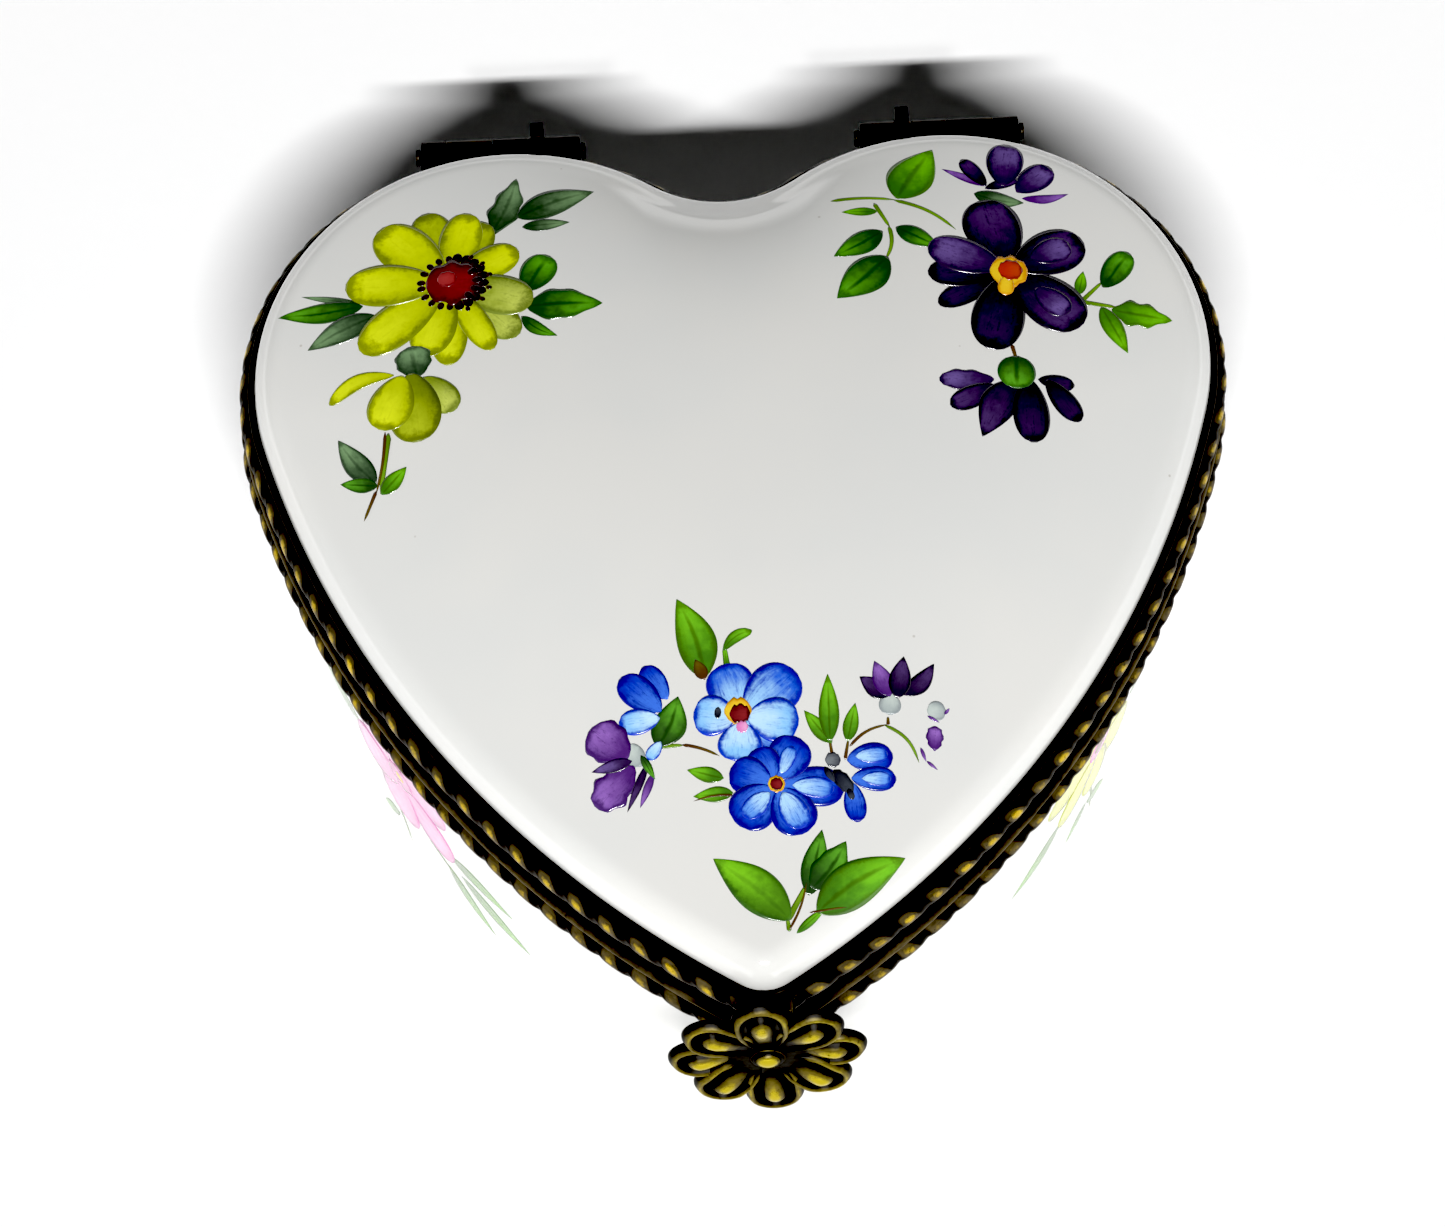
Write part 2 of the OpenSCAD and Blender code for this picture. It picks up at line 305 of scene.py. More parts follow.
@dataclass(frozen=True)
class Enamel:
    """Overglaze enamel: brushed strokes whose colours, edges and veins the mesh carries."""

    def make(self) -> bpy.types.Material:
        """Builds the material."""
        s = Shader("painted_enamel")
        stroke = s.node("ShaderNodeUVMap", {"uv_map": "stroke"}).socket
        across = s.part(stroke, 0) * 2 - 1
        along = s.part(stroke, 1)
        marks = s.attribute("marks")
        edge_mark, vein_mark, side_mark = (s.part(marks, axis) for axis in range(3))
        streak_mark = s.attribute("marks", "Alpha")
        line = s.attribute("line")
        patch = s.cloud(1500, 2)
        mottle = s.cloud(5200, 3, 0.65)
        lines_at = s.node("ShaderNodeCombineXYZ", inputs={0: across * 5.5, 1: along * 1.1, 2: patch * 2})
        lines = s.cloud(1.6, 3, 0.6, lines_at)
        rise = (along + (patch - 0.5) * 0.6 + (lines - 0.5) * streak_mark * 0.8).step(0.1, 0.9)
        colour = s.mix(rise, s.attribute("root"), s.attribute("tip"))
        pale = ((1 - across * across) * along * (1.3 - along) * 2.2 + (patch - 0.5) * 0.5).step(0.35, 1.05)
        colour = s.mix(pale * 0.3, colour, (0.95, 0.95, 0.88), "SOFT_LIGHT")
        colour = s.mix((lines + (mottle - 0.5) * 0.4).step(0.48, 0.75) * streak_mark, colour, line)
        dark_side = (across * 0.8 + (patch - 0.5) * 1.1 + (mottle - 0.5) * 0.3).step(0.05, 1.0)
        colour = s.mix(dark_side * side_mark, colour, line)
        rim = abs(across).most((along - 0.5) * 2).most((0.5 - along) * 1.4)
        outline = (rim + (patch - 0.5) * 0.4 + (mottle - 0.5) * 0.25).step(0.60, 0.90)
        colour = s.mix(outline * edge_mark, colour, line)
        vein = 1 - (abs(across + (patch - 0.5) * 0.16)).step(0.03, 0.2)
        colour = s.mix(vein * vein_mark * along.step(0.02, 0.1) * (1 - along.step(0.6, 0.95)), colour, line)
        colour = s.mix(0.035, colour, (1.0, 1.0, 1.0))
        return s.dress(
            Base_Color=colour,
            Roughness=0.14 + mottle * 0.12,
            IOR=1.52,
            Coat_Weight=0.3,
            Coat_Roughness=0.08,
            Normal=s.relief(lines * 0.7 + mottle * 0.3, 0.006),
        )


@dataclass(frozen=True)
class Brass:
    """Brass with a dark patina in its hollows, rubbed back to metal where it stands proud. On the ropes the
    proud mark also holds painted sheen on the upper side and painted shade underneath.
    """

    name: str
    deep: Colour
    middle: Colour
    bright: Colour
    rubbed: Point
    bared: Point
    polish: float = 0.24
    grain: float = 2600.0
    pitted: float = 0.012

    def make(self) -> bpy.types.Material:
        """Builds the material."""
        s = Shader(self.name)
        proud = s.attribute("relief", "Fac")
        drift = s.cloud(420, 3)
        fine = s.cloud(self.grain, 4, 0.65)
        stretched = s.node("ShaderNodeMapping", {"vector_type": "POINT"},
                           {"Vector": s.place, "Scale": (1.0, 1.0, 6.0)}).socket
        scuffs = s.cloud(900, 4, 0.7, stretched)
        # This mark is the wear of proud parts, and on the ropes also painted sheen on the bead's upper side
        # and painted shade below it.
        wear_and_sheen = proud + (drift - 0.5) * 0.5 + (fine - 0.5) * 0.3 + (scuffs - 0.5) * 0.25
        rubbed = wear_and_sheen.step(*self.rubbed)
        bared = wear_and_sheen.step(*self.bared)
        middle = s.mix(scuffs.step(0.35, 0.7), self.middle, tuple(0.55 * c for c in self.middle))
        colour = s.mix(rubbed, self.deep, middle)
        colour = s.mix(bared, colour, self.bright)
        colour = s.mix((1 - fine.step(0.28, 0.4)) * 0.7, colour, self.deep)
        pits = fine * 0.6 + drift * 0.4
        return s.dress(
            Base_Color=colour,
            Metallic=0.4 + bared * 0.6,
            Roughness=0.50 - bared * (0.50 - self.polish) - rubbed * 0.06 + (fine - 0.5) * 0.16,
            IOR=1.45,
            Normal=s.relief(pits, self.pitted),
        )


@dataclass(frozen=True)
class Plaster:
    """Bedding plaster: matt, grainy and a little stained."""

    light: Colour = tint(0.84, 0.82, 0.77)
    stain: Colour = tint(0.66, 0.60, 0.50)

    def make(self) -> bpy.types.Material:
        """Builds the material."""
        s = Shader("bedding_plaster")
        grain = s.cloud(3000, 4, 0.7)
        colour = s.mix(s.cloud(500, 3).step(0.4, 0.75), self.light, self.stain)
        return s.dress(Base_Color=colour, Roughness=0.85 + grain * 0.1, Normal=s.relief(grain, 0.05))


@dataclass(frozen=True)
class TableTop:
    """Pale matt table."""

    light: Colour = (0.97, 0.97, 0.97)
    shade: Colour = (0.955, 0.955, 0.958)

    def make(self) -> bpy.types.Material:
        """Builds the material."""
        s = Shader("table_top")
        colour = s.mix(s.cloud(6, 3).step(0.3, 0.7), self.light, self.shade)
        return s.dress(Base_Color=colour, Roughness=0.8, Specular_IOR_Level=0.1,
                       Normal=s.relief(s.cloud(900, 3), 0.01))


class Finishes:
    """The finishes of the box, made once and asked for by the record's slot."""

    def __init__(self) -> None:
        """Makes every finish."""
        antique = Brass("antiqued_brass", tint(0.12, 0.10, 0.07), tint(0.40, 0.36, 0.27),
                        tint(0.86, 0.74, 0.30), (0.30, 0.62), (0.74, 1.0), 0.26)
        cast = Brass("cast_flower_brass", tint(0.09, 0.075, 0.05), tint(0.46, 0.41, 0.21),
                     tint(0.80, 0.73, 0.28), (0.30, 0.66), (0.66, 1.0), 0.17, 2200.0, 0.025)
        hinge = Brass("hinge_brass", tint(0.09, 0.075, 0.05), tint(0.30, 0.25, 0.13),
                      tint(0.70, 0.58, 0.28), (0.45, 0.75), (0.80, 1.05), 0.3, 1800.0, 0.01)
        self.by_slot = {
            "porcelain": Porcelain().make(),
            "enamel": Enamel().make(),
            "plaster": Plaster().make(),
            "antique_brass": antique.make(),
            "cast_brass": cast.make(),
            "hinge_brass": hinge.make(),
        }


# ---- Mesh under construction ------------------------------------------------------------------------


class Work:
    """A mesh under construction in millimetres, and its finishing into a piece on a body."""

    def __init__(self) -> None:
        """Starts with an empty mesh that knows how proud each point stands."""
        self.bm = bmesh.new()
        self.relief = self.bm.verts.layers.float.new("relief")

    def sheet(
        self, across: int, along: int, put: Callable[[float, float], Vector]
    ) -> list[bmesh.types.BMVert]:
        """Adds a grid and puts each of its points in place.

        Args:
            across: faces across.
            along: faces along.
            put: place of a point from its shares across and along, 0 to 1.

        Returns:
            The new points.
        """
        verts = bmesh.ops.create_grid(self.bm, x_segments=across, y_segments=along, size=0.5)["verts"]
        for v in verts:
            v.co = put(min(1.0, max(0.0, v.co.x + 0.5)), min(1.0, max(0.0, v.co.y + 0.5)))
        return verts

    def rings(
        self,
        count: int,
        rows: int,
        put: Callable[[float, int], Vector],
        proud: Optional[Callable[[float, int], float]] = None,
        closed: bool = False,
    ) -> None:
        """Draws a ring of points and extrudes it from row to row.

        Args:
            count: points round the ring.
            rows: number of rows.
            put: place of a point from its share round the ring and its row.
            proud: how proud the point stands, 0 to 1.
            closed: whether the last row is joined to the first.
        """
        bm = self.bm
        station = bm.verts.layers.int.new("station")
        row_verts = bmesh.ops.create_circle(bm, segments=count, radius=1.0)["verts"]
        for i, v in enumerate(row_verts):
            v[station] = i
        first = edges = list({e for v in row_verts for e in v.link_edges})
        for row in range(rows):
            if row:
                made = bmesh.ops.extrude_edge_only(bm, edges=edges)["geom"]
                row_verts = [g for g in made if isinstance(g, bmesh.types.BMVert)]
                edges = self._among(made, row_verts)
            for v in row_verts:
                share = v[station] / count
                v.co = put(share, row)
                v[self.relief] = proud(share, row) if proud else 0.0
        if closed:
            bmesh.ops.bridge_loops(bm, edges=first + edges)
        bm.verts.layers.int.remove(bm.verts.layers.int["station"])
        self.relief = bm.verts.layers.float["relief"]

    @staticmethod
    def _among(made: list, verts: list) -> list[bmesh.types.BMEdge]:
        """Edges of a new row, which run between its own points."""
        own = set(verts)
        return [g for g in made if isinstance(g, bmesh.types.BMEdge) and own.issuperset(g.verts)]

    def spun(self, profile: Sequence[Point], steps: int = 48, proud: Sequence[float] = ()) -> list:
        """Turns a profile of (radius, height) about Z into a closed shape.

        Args:
            profile: points from the axis, or near it, to the axis.
            steps: faces round.
            proud: how proud each point of the profile stands.

        Returns:
            The new points.
        """
        bm = self.bm
        before = set(bm.verts)
        chain = [bmesh.ops.create_vert(bm, co=(r, 0, z))["vert"][0] for r, z in profile]
        for v, stands in zip(chain, proud):
            v[self.relief] = stands
        edges = [bm.edges.new(pair) for pair in zip(chain, chain[1:])]
        bmesh.ops.spin(bm, geom=chain + edges, cent=(0, 0, 0), axis=(0, 0, 1), angle=math.tau,
                       steps=steps, use_merge=True)
        made = [v for v in bm.verts if v not in before]
        bmesh.ops.remove_doubles(bm, verts=made, dist=0.001)
        made = [v for v in bm.verts if v not in before]
        bmesh.ops.recalc_face_normals(bm, faces=list({f for v in made for f in v.link_faces}))
        return made

    def rounded(self, width: float, segments: int = 2, least: float = 30.0) -> None:
        """Bevels every edge that turns by more than an angle.

        Args:
            width: how far the bevel reaches.
            segments: faces across it.
            least: the smallest turn in degrees that is rounded.
        """
        limit = math.radians(least)
        sharp = [e for e in self.bm.edges if len(e.link_faces) == 2 and e.calc_face_angle(0.0) > limit]
        bmesh.ops.bevel(self.bm, geom=sharp, offset=width, offset_type="OFFSET", affect="EDGES",
                        segments=segments, profile=0.5, material=-1, clamp_overlap=True)

    def piece(
        self,
        name: str,
        body: str,
        slot: str,
        finishes: Finishes,
        replaces: Sequence[str] = (),
        recalc: bool = True,
    ) -> bpy.types.Object:
        """Finishes the mesh into a piece of the box.

        Args:
            name: the piece's name.
            body: the body that it rides on.
            slot: the record's slot of its finish.
            finishes: the finishes to take it from.
            replaces: CAD nodes that it stands for.
            recalc: whether the faces are turned outwards first.

        Returns:
            The finished object, at the origin.
        """
        if recalc:
            bmesh.ops.recalc_face_normals(self.bm, faces=self.bm.faces)
        bmesh.ops.scale(self.bm, vec=(MM, MM, MM), verts=self.bm.verts)
        mesh = bpy.data.meshes.new(name)
        self.bm.to_mesh(mesh)
        self.bm.free()
        mesh.polygons.foreach_set("use_smooth", [True] * len(mesh.polygons))
        mesh.materials.append(finishes.by_slot[slot])
        thing = bpy.data.objects.new(name, mesh)
        bpy.context.scene.collection.objects.link(thing)
        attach(thing, body)
        if replaces:
            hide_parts(*replaces)
        LOG.info("%s on %s: %d faces", name, body, len(mesh.polygons))
        return thing


# ---- The heart ---------------------------------------------------------------------------------------


@dataclass(frozen=True)
class HeartOutline:
    """Heart of tangent arcs. Insets are measured inwards from the base rope's outer edge."""

    lobe_radius: float = 16.9
    lobe_x: float = 13.1
    lobe_y: float = 12.529
    tip_forward: float = 38.5
    tip_radius: float = 3.6
    least_tip: float = 1.2
    side_radius: float = 63.8
    notch_radius: float = 6.4

    @lru_cache(maxsize=None)
    def arcs(self, inset: float) -> tuple[tuple[float, float, float, float, float], ...]:
        """Arcs of the right half from the tip to the notch.

        Args:
            inset: distance inwards.

        Returns:
            Centre x and y, radius, and first and last angle of each arc.
        """
        tip, lobe = Vector((0, -self.tip_forward)), Vector((self.lobe_x, 0))
        far, near = self.side_radius - self.tip_radius, self.side_radius - self.lobe_radius
        span = (lobe - tip).length
        along = (far**2 - near**2 + span**2) / (2 * span)
        unit = (lobe - tip) / span
        side = tip + along * unit + math.sqrt(far**2 - along**2) * Vector((-unit.y, unit.x))
        side_r = self.side_radius - inset
        tip_r = max(self.tip_radius - inset, self.least_tip)
        tip = Vector((0, side.y - math.sqrt((side_r - tip_r) ** 2 - side.x**2)))
        notch = Vector((0, math.sqrt((self.lobe_radius + self.notch_radius) ** 2 - self.lobe_x**2)))

        def heading(v: Vector) -> float:
            """Angle of a direction."""
            return math.atan2(v.y, v.x)

        up = self.lobe_y
        to_tip, to_lobe = heading(tip - side), heading(lobe - side)
        return (
            (0.0, tip.y + up, tip_r, -math.pi / 2, to_tip),
            (side.x, side.y + up, side_r, to_tip, to_lobe),
            (lobe.x, up, self.lobe_radius - inset, to_lobe, heading(notch - lobe)),
            (0.0, notch.y + up, self.notch_radius + inset, heading(lobe - notch), -math.pi / 2),
        )

    @lru_cache(maxsize=None)
    def lengths(self) -> tuple[float, ...]:
        """Lengths of the half's arcs, by which every inset shares out its points."""
        return tuple(r * abs(a1 - a0) for _, _, r, a0, a1 in self.arcs(0.6))

    def at(self, share: float, inset: float) -> Vector:
        """Point on the heart.

        Args:
            share: share of the way round, anticlockwise from the tip.
            inset: distance inwards.

        Returns:
            The point, with z = 0.
        """
        share %= 1.0
        mirrored = share > 0.5
        run = (1 - share if mirrored else share) * 2 * sum(self.lengths())
        for length, (x, y, r, a0, a1) in zip(self.lengths(), self.arcs(round(inset, 5))):
            if run <= length or (x, r) == (0.0, self.notch_radius + round(inset, 5)):
                turn = a0 + (a1 - a0) * min(1.0, run / length)
                px = x + r * math.cos(turn)
                return Vector((-px if mirrored else px, y + r * math.sin(turn), 0))
            run -= length
        raise ValueError("share out of range")

    def level(self, share: float, inset: float, height: float) -> Vector:
        """Point on the heart at a height."""
        point = self.at(share, inset)
        point.z = height
        return point


HEART = HeartOutline()


@dataclass
class LidShell:
    """Domed porcelain lid: a rolled shoulder under a crown that rises gently to its middle."""

    rim_z: float = 22.92
    shell_in: float = 1.22
    shoulder_in: float = 3.02
    straight_z: float = 24.82
    shoulder_z: float = 26.92
    crown_rise: float = 3.165
    crown_power: float = 2.5
    low_pull: float = 1.1
    high_pull: float = 1.15
    wall: float = 2.2
    focus: Point = (0.0, 4.529)
    round_radius: float = 21.0
    points: int = 320
    crown_rows: int = 26
    shoulder_rows: int = 14

    def crown(self, share: float, s: float, inset: float, drop: float) -> Vector:
        """Point on the crown, whose rings go from the heart at the shoulder to a circle in the middle.

        Args:
            share: share of the way round.
            s: how far out the ring lies, 0 to 1.
            inset: inset of the outermost ring.
            drop: how far below the outer crown this surface lies.

        Returns:
            The point.
        """
        middle = Vector((*self.focus, 0))
        arm = HEART.at(share, inset) - middle
        reach = s * (self.round_radius + s * s * (arm.length - self.round_radius))
        height = self.shoulder_z + self.crown_rise * (1 - s**self.crown_power) - drop
        return middle + arm.normalized() * reach + Vector((0, 0, height))

    def shoulder(self, share: float, t: float) -> Vector:
        """Point on the rolled shoulder, which leaves the wall upright and meets the crown's slope.

        Args:
            share: share of the way round.
            t: share of the way up.

        Returns:
            The point.
        """
        arm = (HEART.at(share, self.shoulder_in) - Vector((*self.focus, 0))).length
        slope = self.crown_power * self.crown_rise / (3 * arm - 2 * self.round_radius)
        knots = (
            (self.shell_in, self.straight_z),
            (self.shell_in, self.straight_z + self.low_pull),
            (self.shoulder_in - self.high_pull, self.shoulder_z - self.high_pull * slope),
            (self.shoulder_in, self.shoulder_z),
        )
        shares = ((1 - t) ** 3, 3 * t * (1 - t) ** 2, 3 * t * t * (1 - t), t**3)
        inset = sum(w * k[0] for w, k in zip(shares, knots))
        return HEART.level(share, inset, sum(w * k[1] for w, k in zip(shares, knots)))

    def build(self, finishes: Finishes) -> BVHTree:
        """Builds the lid's porcelain.

        Args:
            finishes: the finishes.

        Returns:
            Its surface in millimetres, for the painted sprays.
        """
        crown_s = [1 - (i / self.crown_rows) ** 1.15 for i in range(1, self.crown_rows)] + [0.012]
        under_in = self.shell_in + self.wall + 0.6
        places: list[Callable[[float], Vector]] = []
        for s in reversed(crown_s[::2]):
            places.append(lambda share, s=s: self.crown(share, s, under_in, self.wall))
        wall = (
            (under_in, 24.72), (under_in - 0.12, 24.36), (under_in - 0.35, 23.9), (under_in - 0.5, 23.5),
            (under_in - 0.66, 23.0), (under_in - 0.76, self.rim_z), (self.shell_in + 0.1, self.rim_z),
            (self.shell_in, 23.02), (self.shell_in, 23.9), (self.shell_in, 24.6),
        )
        for inset, height in wall:
            places.append(lambda share, a=inset, z=height: HEART.level(share, a, z))
        for i in range(self.shoulder_rows + 1):
            places.append(lambda share, t=i / self.shoulder_rows: self.shoulder(share, t))
        for s in crown_s:
            places.append(lambda share, s=s: self.crown(share, s, self.shoulder_in, 0.0))
        work = Work()
        work.rings(self.points, len(places), lambda share, row: places[row](share))
        open_edges = [e for e in work.bm.edges if e.is_boundary]
        bmesh.ops.holes_fill(work.bm, edges=open_edges, sides=0)
        caps = [f for f in work.bm.faces if len(f.verts) > 8]
        bmesh.ops.poke(work.bm, faces=caps)
        bmesh.ops.recalc_face_normals(work.bm, faces=work.bm.faces)
        surface = BVHTree.FromBMesh(work.bm)
        work.piece("lid_porcelain", "lid", "porcelain", finishes, ["lid_shell"])
        return surface


@dataclass
class CupShell:
    """Porcelain cup with a foot ring, a recess under it and a glazed inside."""

    section: Sequence[Point] = (
        (7.6, 0.8), (6.4, 0.8), (6.1, 0.76), (5.75, 0.42), (5.45, 0.06), (5.3, 0.0), (3.4, 0.0), (3.15, 0.06),
        (2.75, 0.24), (2.37, 0.5), (2.13, 0.9), (1.98, 1.5), (1.9, 2.4), (1.87, 3.5), (1.8, 6.0), (1.7, 9.0),
        (1.58, 12.0), (1.4, 15.5), (1.24, 18.4), (1.22, 20.0), (1.22, 21.34), (1.28, 21.4), (3.25, 21.4),
        (3.42, 21.35), (3.55, 21.2), (3.62, 20.95), (3.74, 18.5), (3.9, 14.5), (4.02, 11.5), (4.15, 8.0),
        (4.28, 5.4), (4.45, 4.6), (4.75, 4.0), (5.2, 3.55), (5.8, 3.22), (6.5, 3.05), (7.2, 3.0), (8.2, 3.0))
    points: int = 280

    def build(self, finishes: Finishes) -> BVHTree:
        """Builds the cup.

        Args:
            finishes: the finishes.

        Returns:
            Its surface in millimetres, for the painted sprays.
        """
        work = Work()
        work.rings(self.points, len(self.section), lambda share, row: HEART.level(share, *self.section[row]))
        bmesh.ops.holes_fill(work.bm, edges=[e for e in work.bm.edges if e.is_boundary], sides=0)
        bmesh.ops.recalc_face_normals(work.bm, faces=work.bm.faces)
        surface = BVHTree.FromBMesh(work.bm)
        work.piece("cup_porcelain", "base", "porcelain", finishes, ["base_shell"])
        return surface


def half_round(wall_in: float, edge_in: float, low: float, height: float, steps: int = 12) -> list[Point]:
    """Section of a bead that stands out from a wall, from its foot to its top."""
    angles = [math.radians(-80 + 160 * i / (steps - 1)) for i in range(steps)]
    return [
        (wall_in - (wall_in - edge_in) * math.cos(a), low + height / 2 * (1 + math.sin(a) / math.sin(1.396)))
        for a in angles
    ]


@dataclass
class Bezel:
    """Brass ring that a piece of porcelain is bedded in, drawn through a heart-shaped section."""

    name: str
    body: str
    replaces: str
    section: Sequence[Point]
    stands: Sequence[float]
    points: int = 260
    edge: float = 0.07

    def build(self, finishes: Finishes) -> None:
        """Builds the bezel."""
        work = Work()
        work.rings(self.points, len(self.section), lambda share, row: HEART.level(share, *self.section[row]),
                   lambda share, row: self.stands[row], closed=True)
        bmesh.ops.recalc_face_normals(work.bm, faces=work.bm.faces)
        work.rounded(self.edge, 2, 38)
        work.piece(self.name, self.body, "antique_brass", finishes, [self.replaces])


@dataclass
class Rope:
    """Twisted rope moulding: a half-round bead whose strands lean along the heart."""

    name: str
    body: str
    replaces: str
    edge_in: float
    low: float
    strands: int
    gaps: Sequence[tuple[float, float, float]] = ()
    wall_in: float = 0.73
    height: float = 1.3
    lean: float = 0.62
    groove: float = 0.26
    rub: float = 1.0
    per_strand: int = 12
    rows: int = 17

    def section(self, share: float, row: int) -> tuple[float, float, float]:
        """Inset, height and proudness at a row of the bead; the proudness also holds painted sheen on the
        bead's upper side and painted shade on its underside.
        """
        if row in (0, self.rows + 1):
            return self.wall_in + 0.02, self.low + (0.02 if row == 0 else self.height - 0.02), 0.0
        angle = math.pi * ((row - 1) / (self.rows - 1) - 0.5)
        phase = share * self.strands + self.lean * angle / math.pi
        side = abs(2 * (phase % 1.0) - 1)
        carve = side**3.2
        swell = 1 - self.groove * carve
        inset = self.wall_in - (self.wall_in - self.edge_in) * math.cos(angle) * swell
        height = self.low + self.height / 2 * (1 + math.sin(angle) * (0.90 + 0.10 * swell))
        # Painted light: the bead's upper outer side is made brighter, as painted sheen, and its underside
        # darker, as painted shade.
        painted_light = 0.25 + 0.75 * max(0.0, math.cos(angle - 0.45)) ** 2
        proud = self.rub * (1 - smooth(0.15, 0.85, side)) * painted_light
        return inset, height, proud

    def put(self, share: float, row: int) -> Vector:
        """Place of a point of the bead."""
        inset, height, _ = self.section(share, row)
        return HEART.level(share, inset, height)

    def cut(self, work: Work) -> None:
        """Takes the gaps out and closes the ends that they leave."""
        bm = work.bm
        for x0, x1, side in self.gaps:
            def inside(co: Vector, spare: float) -> bool:
                """Whether a point lies in the gap, widened by some spare."""
                return x0 - spare < co.x < x1 + spare and co.y * side > 20
            for plane in (x0, x1):
                near = [f for f in bm.faces if inside(f.calc_center_median(), 1.0)]
                edges = list({e for f in near for e in f.edges})
                verts = list({v for f in near for v in f.verts})
                bmesh.ops.bisect_plane(
                    bm, geom=near + edges + verts, dist=0.0005, plane_co=(plane, 0, 0), plane_no=(1, 0, 0))
            gone = [f for f in bm.faces if inside(f.calc_center_median(), 0.0)]
            bmesh.ops.delete(bm, geom=gone, context="FACES")
        bmesh.ops.holes_fill(bm, edges=[e for e in bm.edges if e.is_boundary], sides=0)

    def build(self, finishes: Finishes) -> None:
        """Builds the moulding."""
        work = Work()
        work.rings(self.strands * self.per_strand, self.rows + 2, self.put,
                   lambda share, row: self.section(share, row)[2], closed=True)
        self.cut(work)
        work.piece(self.name, self.body, "antique_brass", finishes, [self.replaces])


# ---- Painted sprays ------------------------------------------------------------------------------


class Form(Enum):
    """Outlines that a brush stroke can have."""

    PETAL = "petal"
    LEAF = "leaf"
    STEM = "stem"
    DAB = "dab"


@dataclass(frozen=True)
class Paint:
    """Colours of a stroke from its root to its tip, its lines, and how strong its marks are."""

    root: Colour
    tip: Colour
    line: Colour
    edge: float = 0.5
    vein: float = 0.0
    side: float = 0.25
    streak: float = 0.12


@dataclass(frozen=True)
class Stroke:
    """One brush stroke: where it starts, its heading in degrees, its length and its width in mm."""

    x: float
    y: float
    heading: float
    length: float
    width: float
    paint: Paint
    form: Form = Form.PETAL
    bow: float = 0.0
    waves: float = 0.0

    def half_width(self, along: float) -> float:
        """Half of the stroke's width at a share of its length."""
        if self.form is Form.LEAF:
            shape = math.sin(math.pi * along**0.78) ** 0.92 if 0 < along < 1 else 0.0
        elif self.form is Form.STEM:
            shape = min(1.0, 9 * along + 0.15, 5 * (1 - along) + 0.1) * (1 - 0.35 * along)
        else:
            bulge = 1.3 if self.form is Form.PETAL else 1.0
            shape = math.sqrt(max(0.0, 1 - (2 * along**bulge - 1) ** 2))
        return self.width / 2 * shape

    def at(self, across: float, along: float) -> tuple[float, float]:
        """Point of the stroke on its canvas.

        Args:
            across: share across, 0 to 1.
            along: share along, 0 to 1.

        Returns:
            The canvas's two coordinates in millimetres.
        """
        heading = math.radians(self.heading)
        ahead = Vector((math.cos(heading), math.sin(heading)))
        left = Vector((-ahead.y, ahead.x))
        u = across * 2 - 1
        wave = 1 + self.waves * math.sin(along * 19 + self.x * 7) * abs(u)
        sway = self.bow * self.length * math.sin(math.pi * along)
        point = ahead * (along * self.length) + left * (sway + u * self.half_width(along) * wave)
        return self.x + point.x, self.y + point.y


@dataclass
class Canvas:
    """Porcelain surface that strokes are laid on, seen square on from one direction."""

    surface: BVHTree
    origin: Vector
    right: Vector
    up: Vector

    def touch(self, a: float, b: float, lift: float) -> Vector:
        """Point on the porcelain, lifted off it.

        Args:
            a: distance to the right of the canvas's origin.
            b: distance up from it.
            lift: height above the glaze.

        Returns:
            The point.
        """
        out = self.right.cross(self.up)
        start = self.origin + self.right * a + self.up * b + out * 40
        hit, normal, _, _ = self.surface.ray_cast(start, -out)
        if hit is None:
            raise ValueError(f"a stroke leaves the porcelain at {a:.1f}, {b:.1f}")
        return hit + normal * lift


@dataclass
class Spray:
    """Strokes of enamel laid over each other on one canvas, and made one piece."""

    name: str
    body: str
    canvas: Canvas
    strokes: Sequence[Stroke]
    film: float = 0.012
    lift: float = 0.005
    layer: float = 0.0014
    columns: int = 10

    def levels(self) -> list[int]:
        """How many strokes lie under each stroke, counting only those that it crosses."""
        spans = [[Vector(s.at(0.5, t)) for t in (0.0, 0.25, 0.5, 0.75, 1.0)] for s in self.strokes]
        made: list[int] = []
        for i, stroke in enumerate(self.strokes):
            under = [0]
            for j in range(i):
                reach = (stroke.width + self.strokes[j].width) / 2 + 0.25
                if min((a - b).length for a in spans[i] for b in spans[j]) < reach:
                    under.append(made[j] + 1)
            made.append(max(under))
        return made

    def build(self, finishes: Finishes) -> None:
        """Builds the spray."""
        work = Work()
        bm = work.bm
        colours = {key: bm.verts.layers.float_color.new(key) for key in ("root", "tip", "line", "marks")}
        uv = bm.loops.layers.uv.new("stroke")
        for stroke, level in zip(self.strokes, self.levels()):
            lift = self.lift + level * self.layer
            rows = max(8, min(26, round(stroke.length * 5)))
            columns = 4 if stroke.width < 0.6 else self.columns
            verts = work.sheet(columns, rows, lambda u, v: Vector((u, v, 0)))
            shares = {v: (v.co.x, v.co.y) for v in verts}
            paint = stroke.paint
            for v, (u, t) in shares.items():
                v.co = self.canvas.touch(*stroke.at(u, 0.004 + 0.992 * t), lift)
                v[colours["root"]] = (*paint.root, 1)
                v[colours["tip"]] = (*paint.tip, 1)
                v[colours["line"]] = (*paint.line, 1)
                v[colours["marks"]] = (paint.edge, paint.vein, paint.side, paint.streak)
            for face in {f for v in verts for f in v.link_faces}:
                for loop in face.loops:
                    loop[uv].uv = shares[loop.vert]
        out = self.canvas.right.cross(self.canvas.up)
        bm.normal_update()
        for face in bm.faces:
            if face.normal.dot(out) < 0:
                face.normal_flip()
        bmesh.ops.solidify(bm, geom=bm.faces, thickness=self.film)
        work.piece(self.name, self.body, "enamel", finishes)


def paint(root: Colour, tip: Colour, line: Colour, *marks: float) -> Paint:
    """Paint whose colours are given as they look, with the strengths of its marks."""
    return Paint(tint(*root), tint(*tip), tint(*line), *marks)


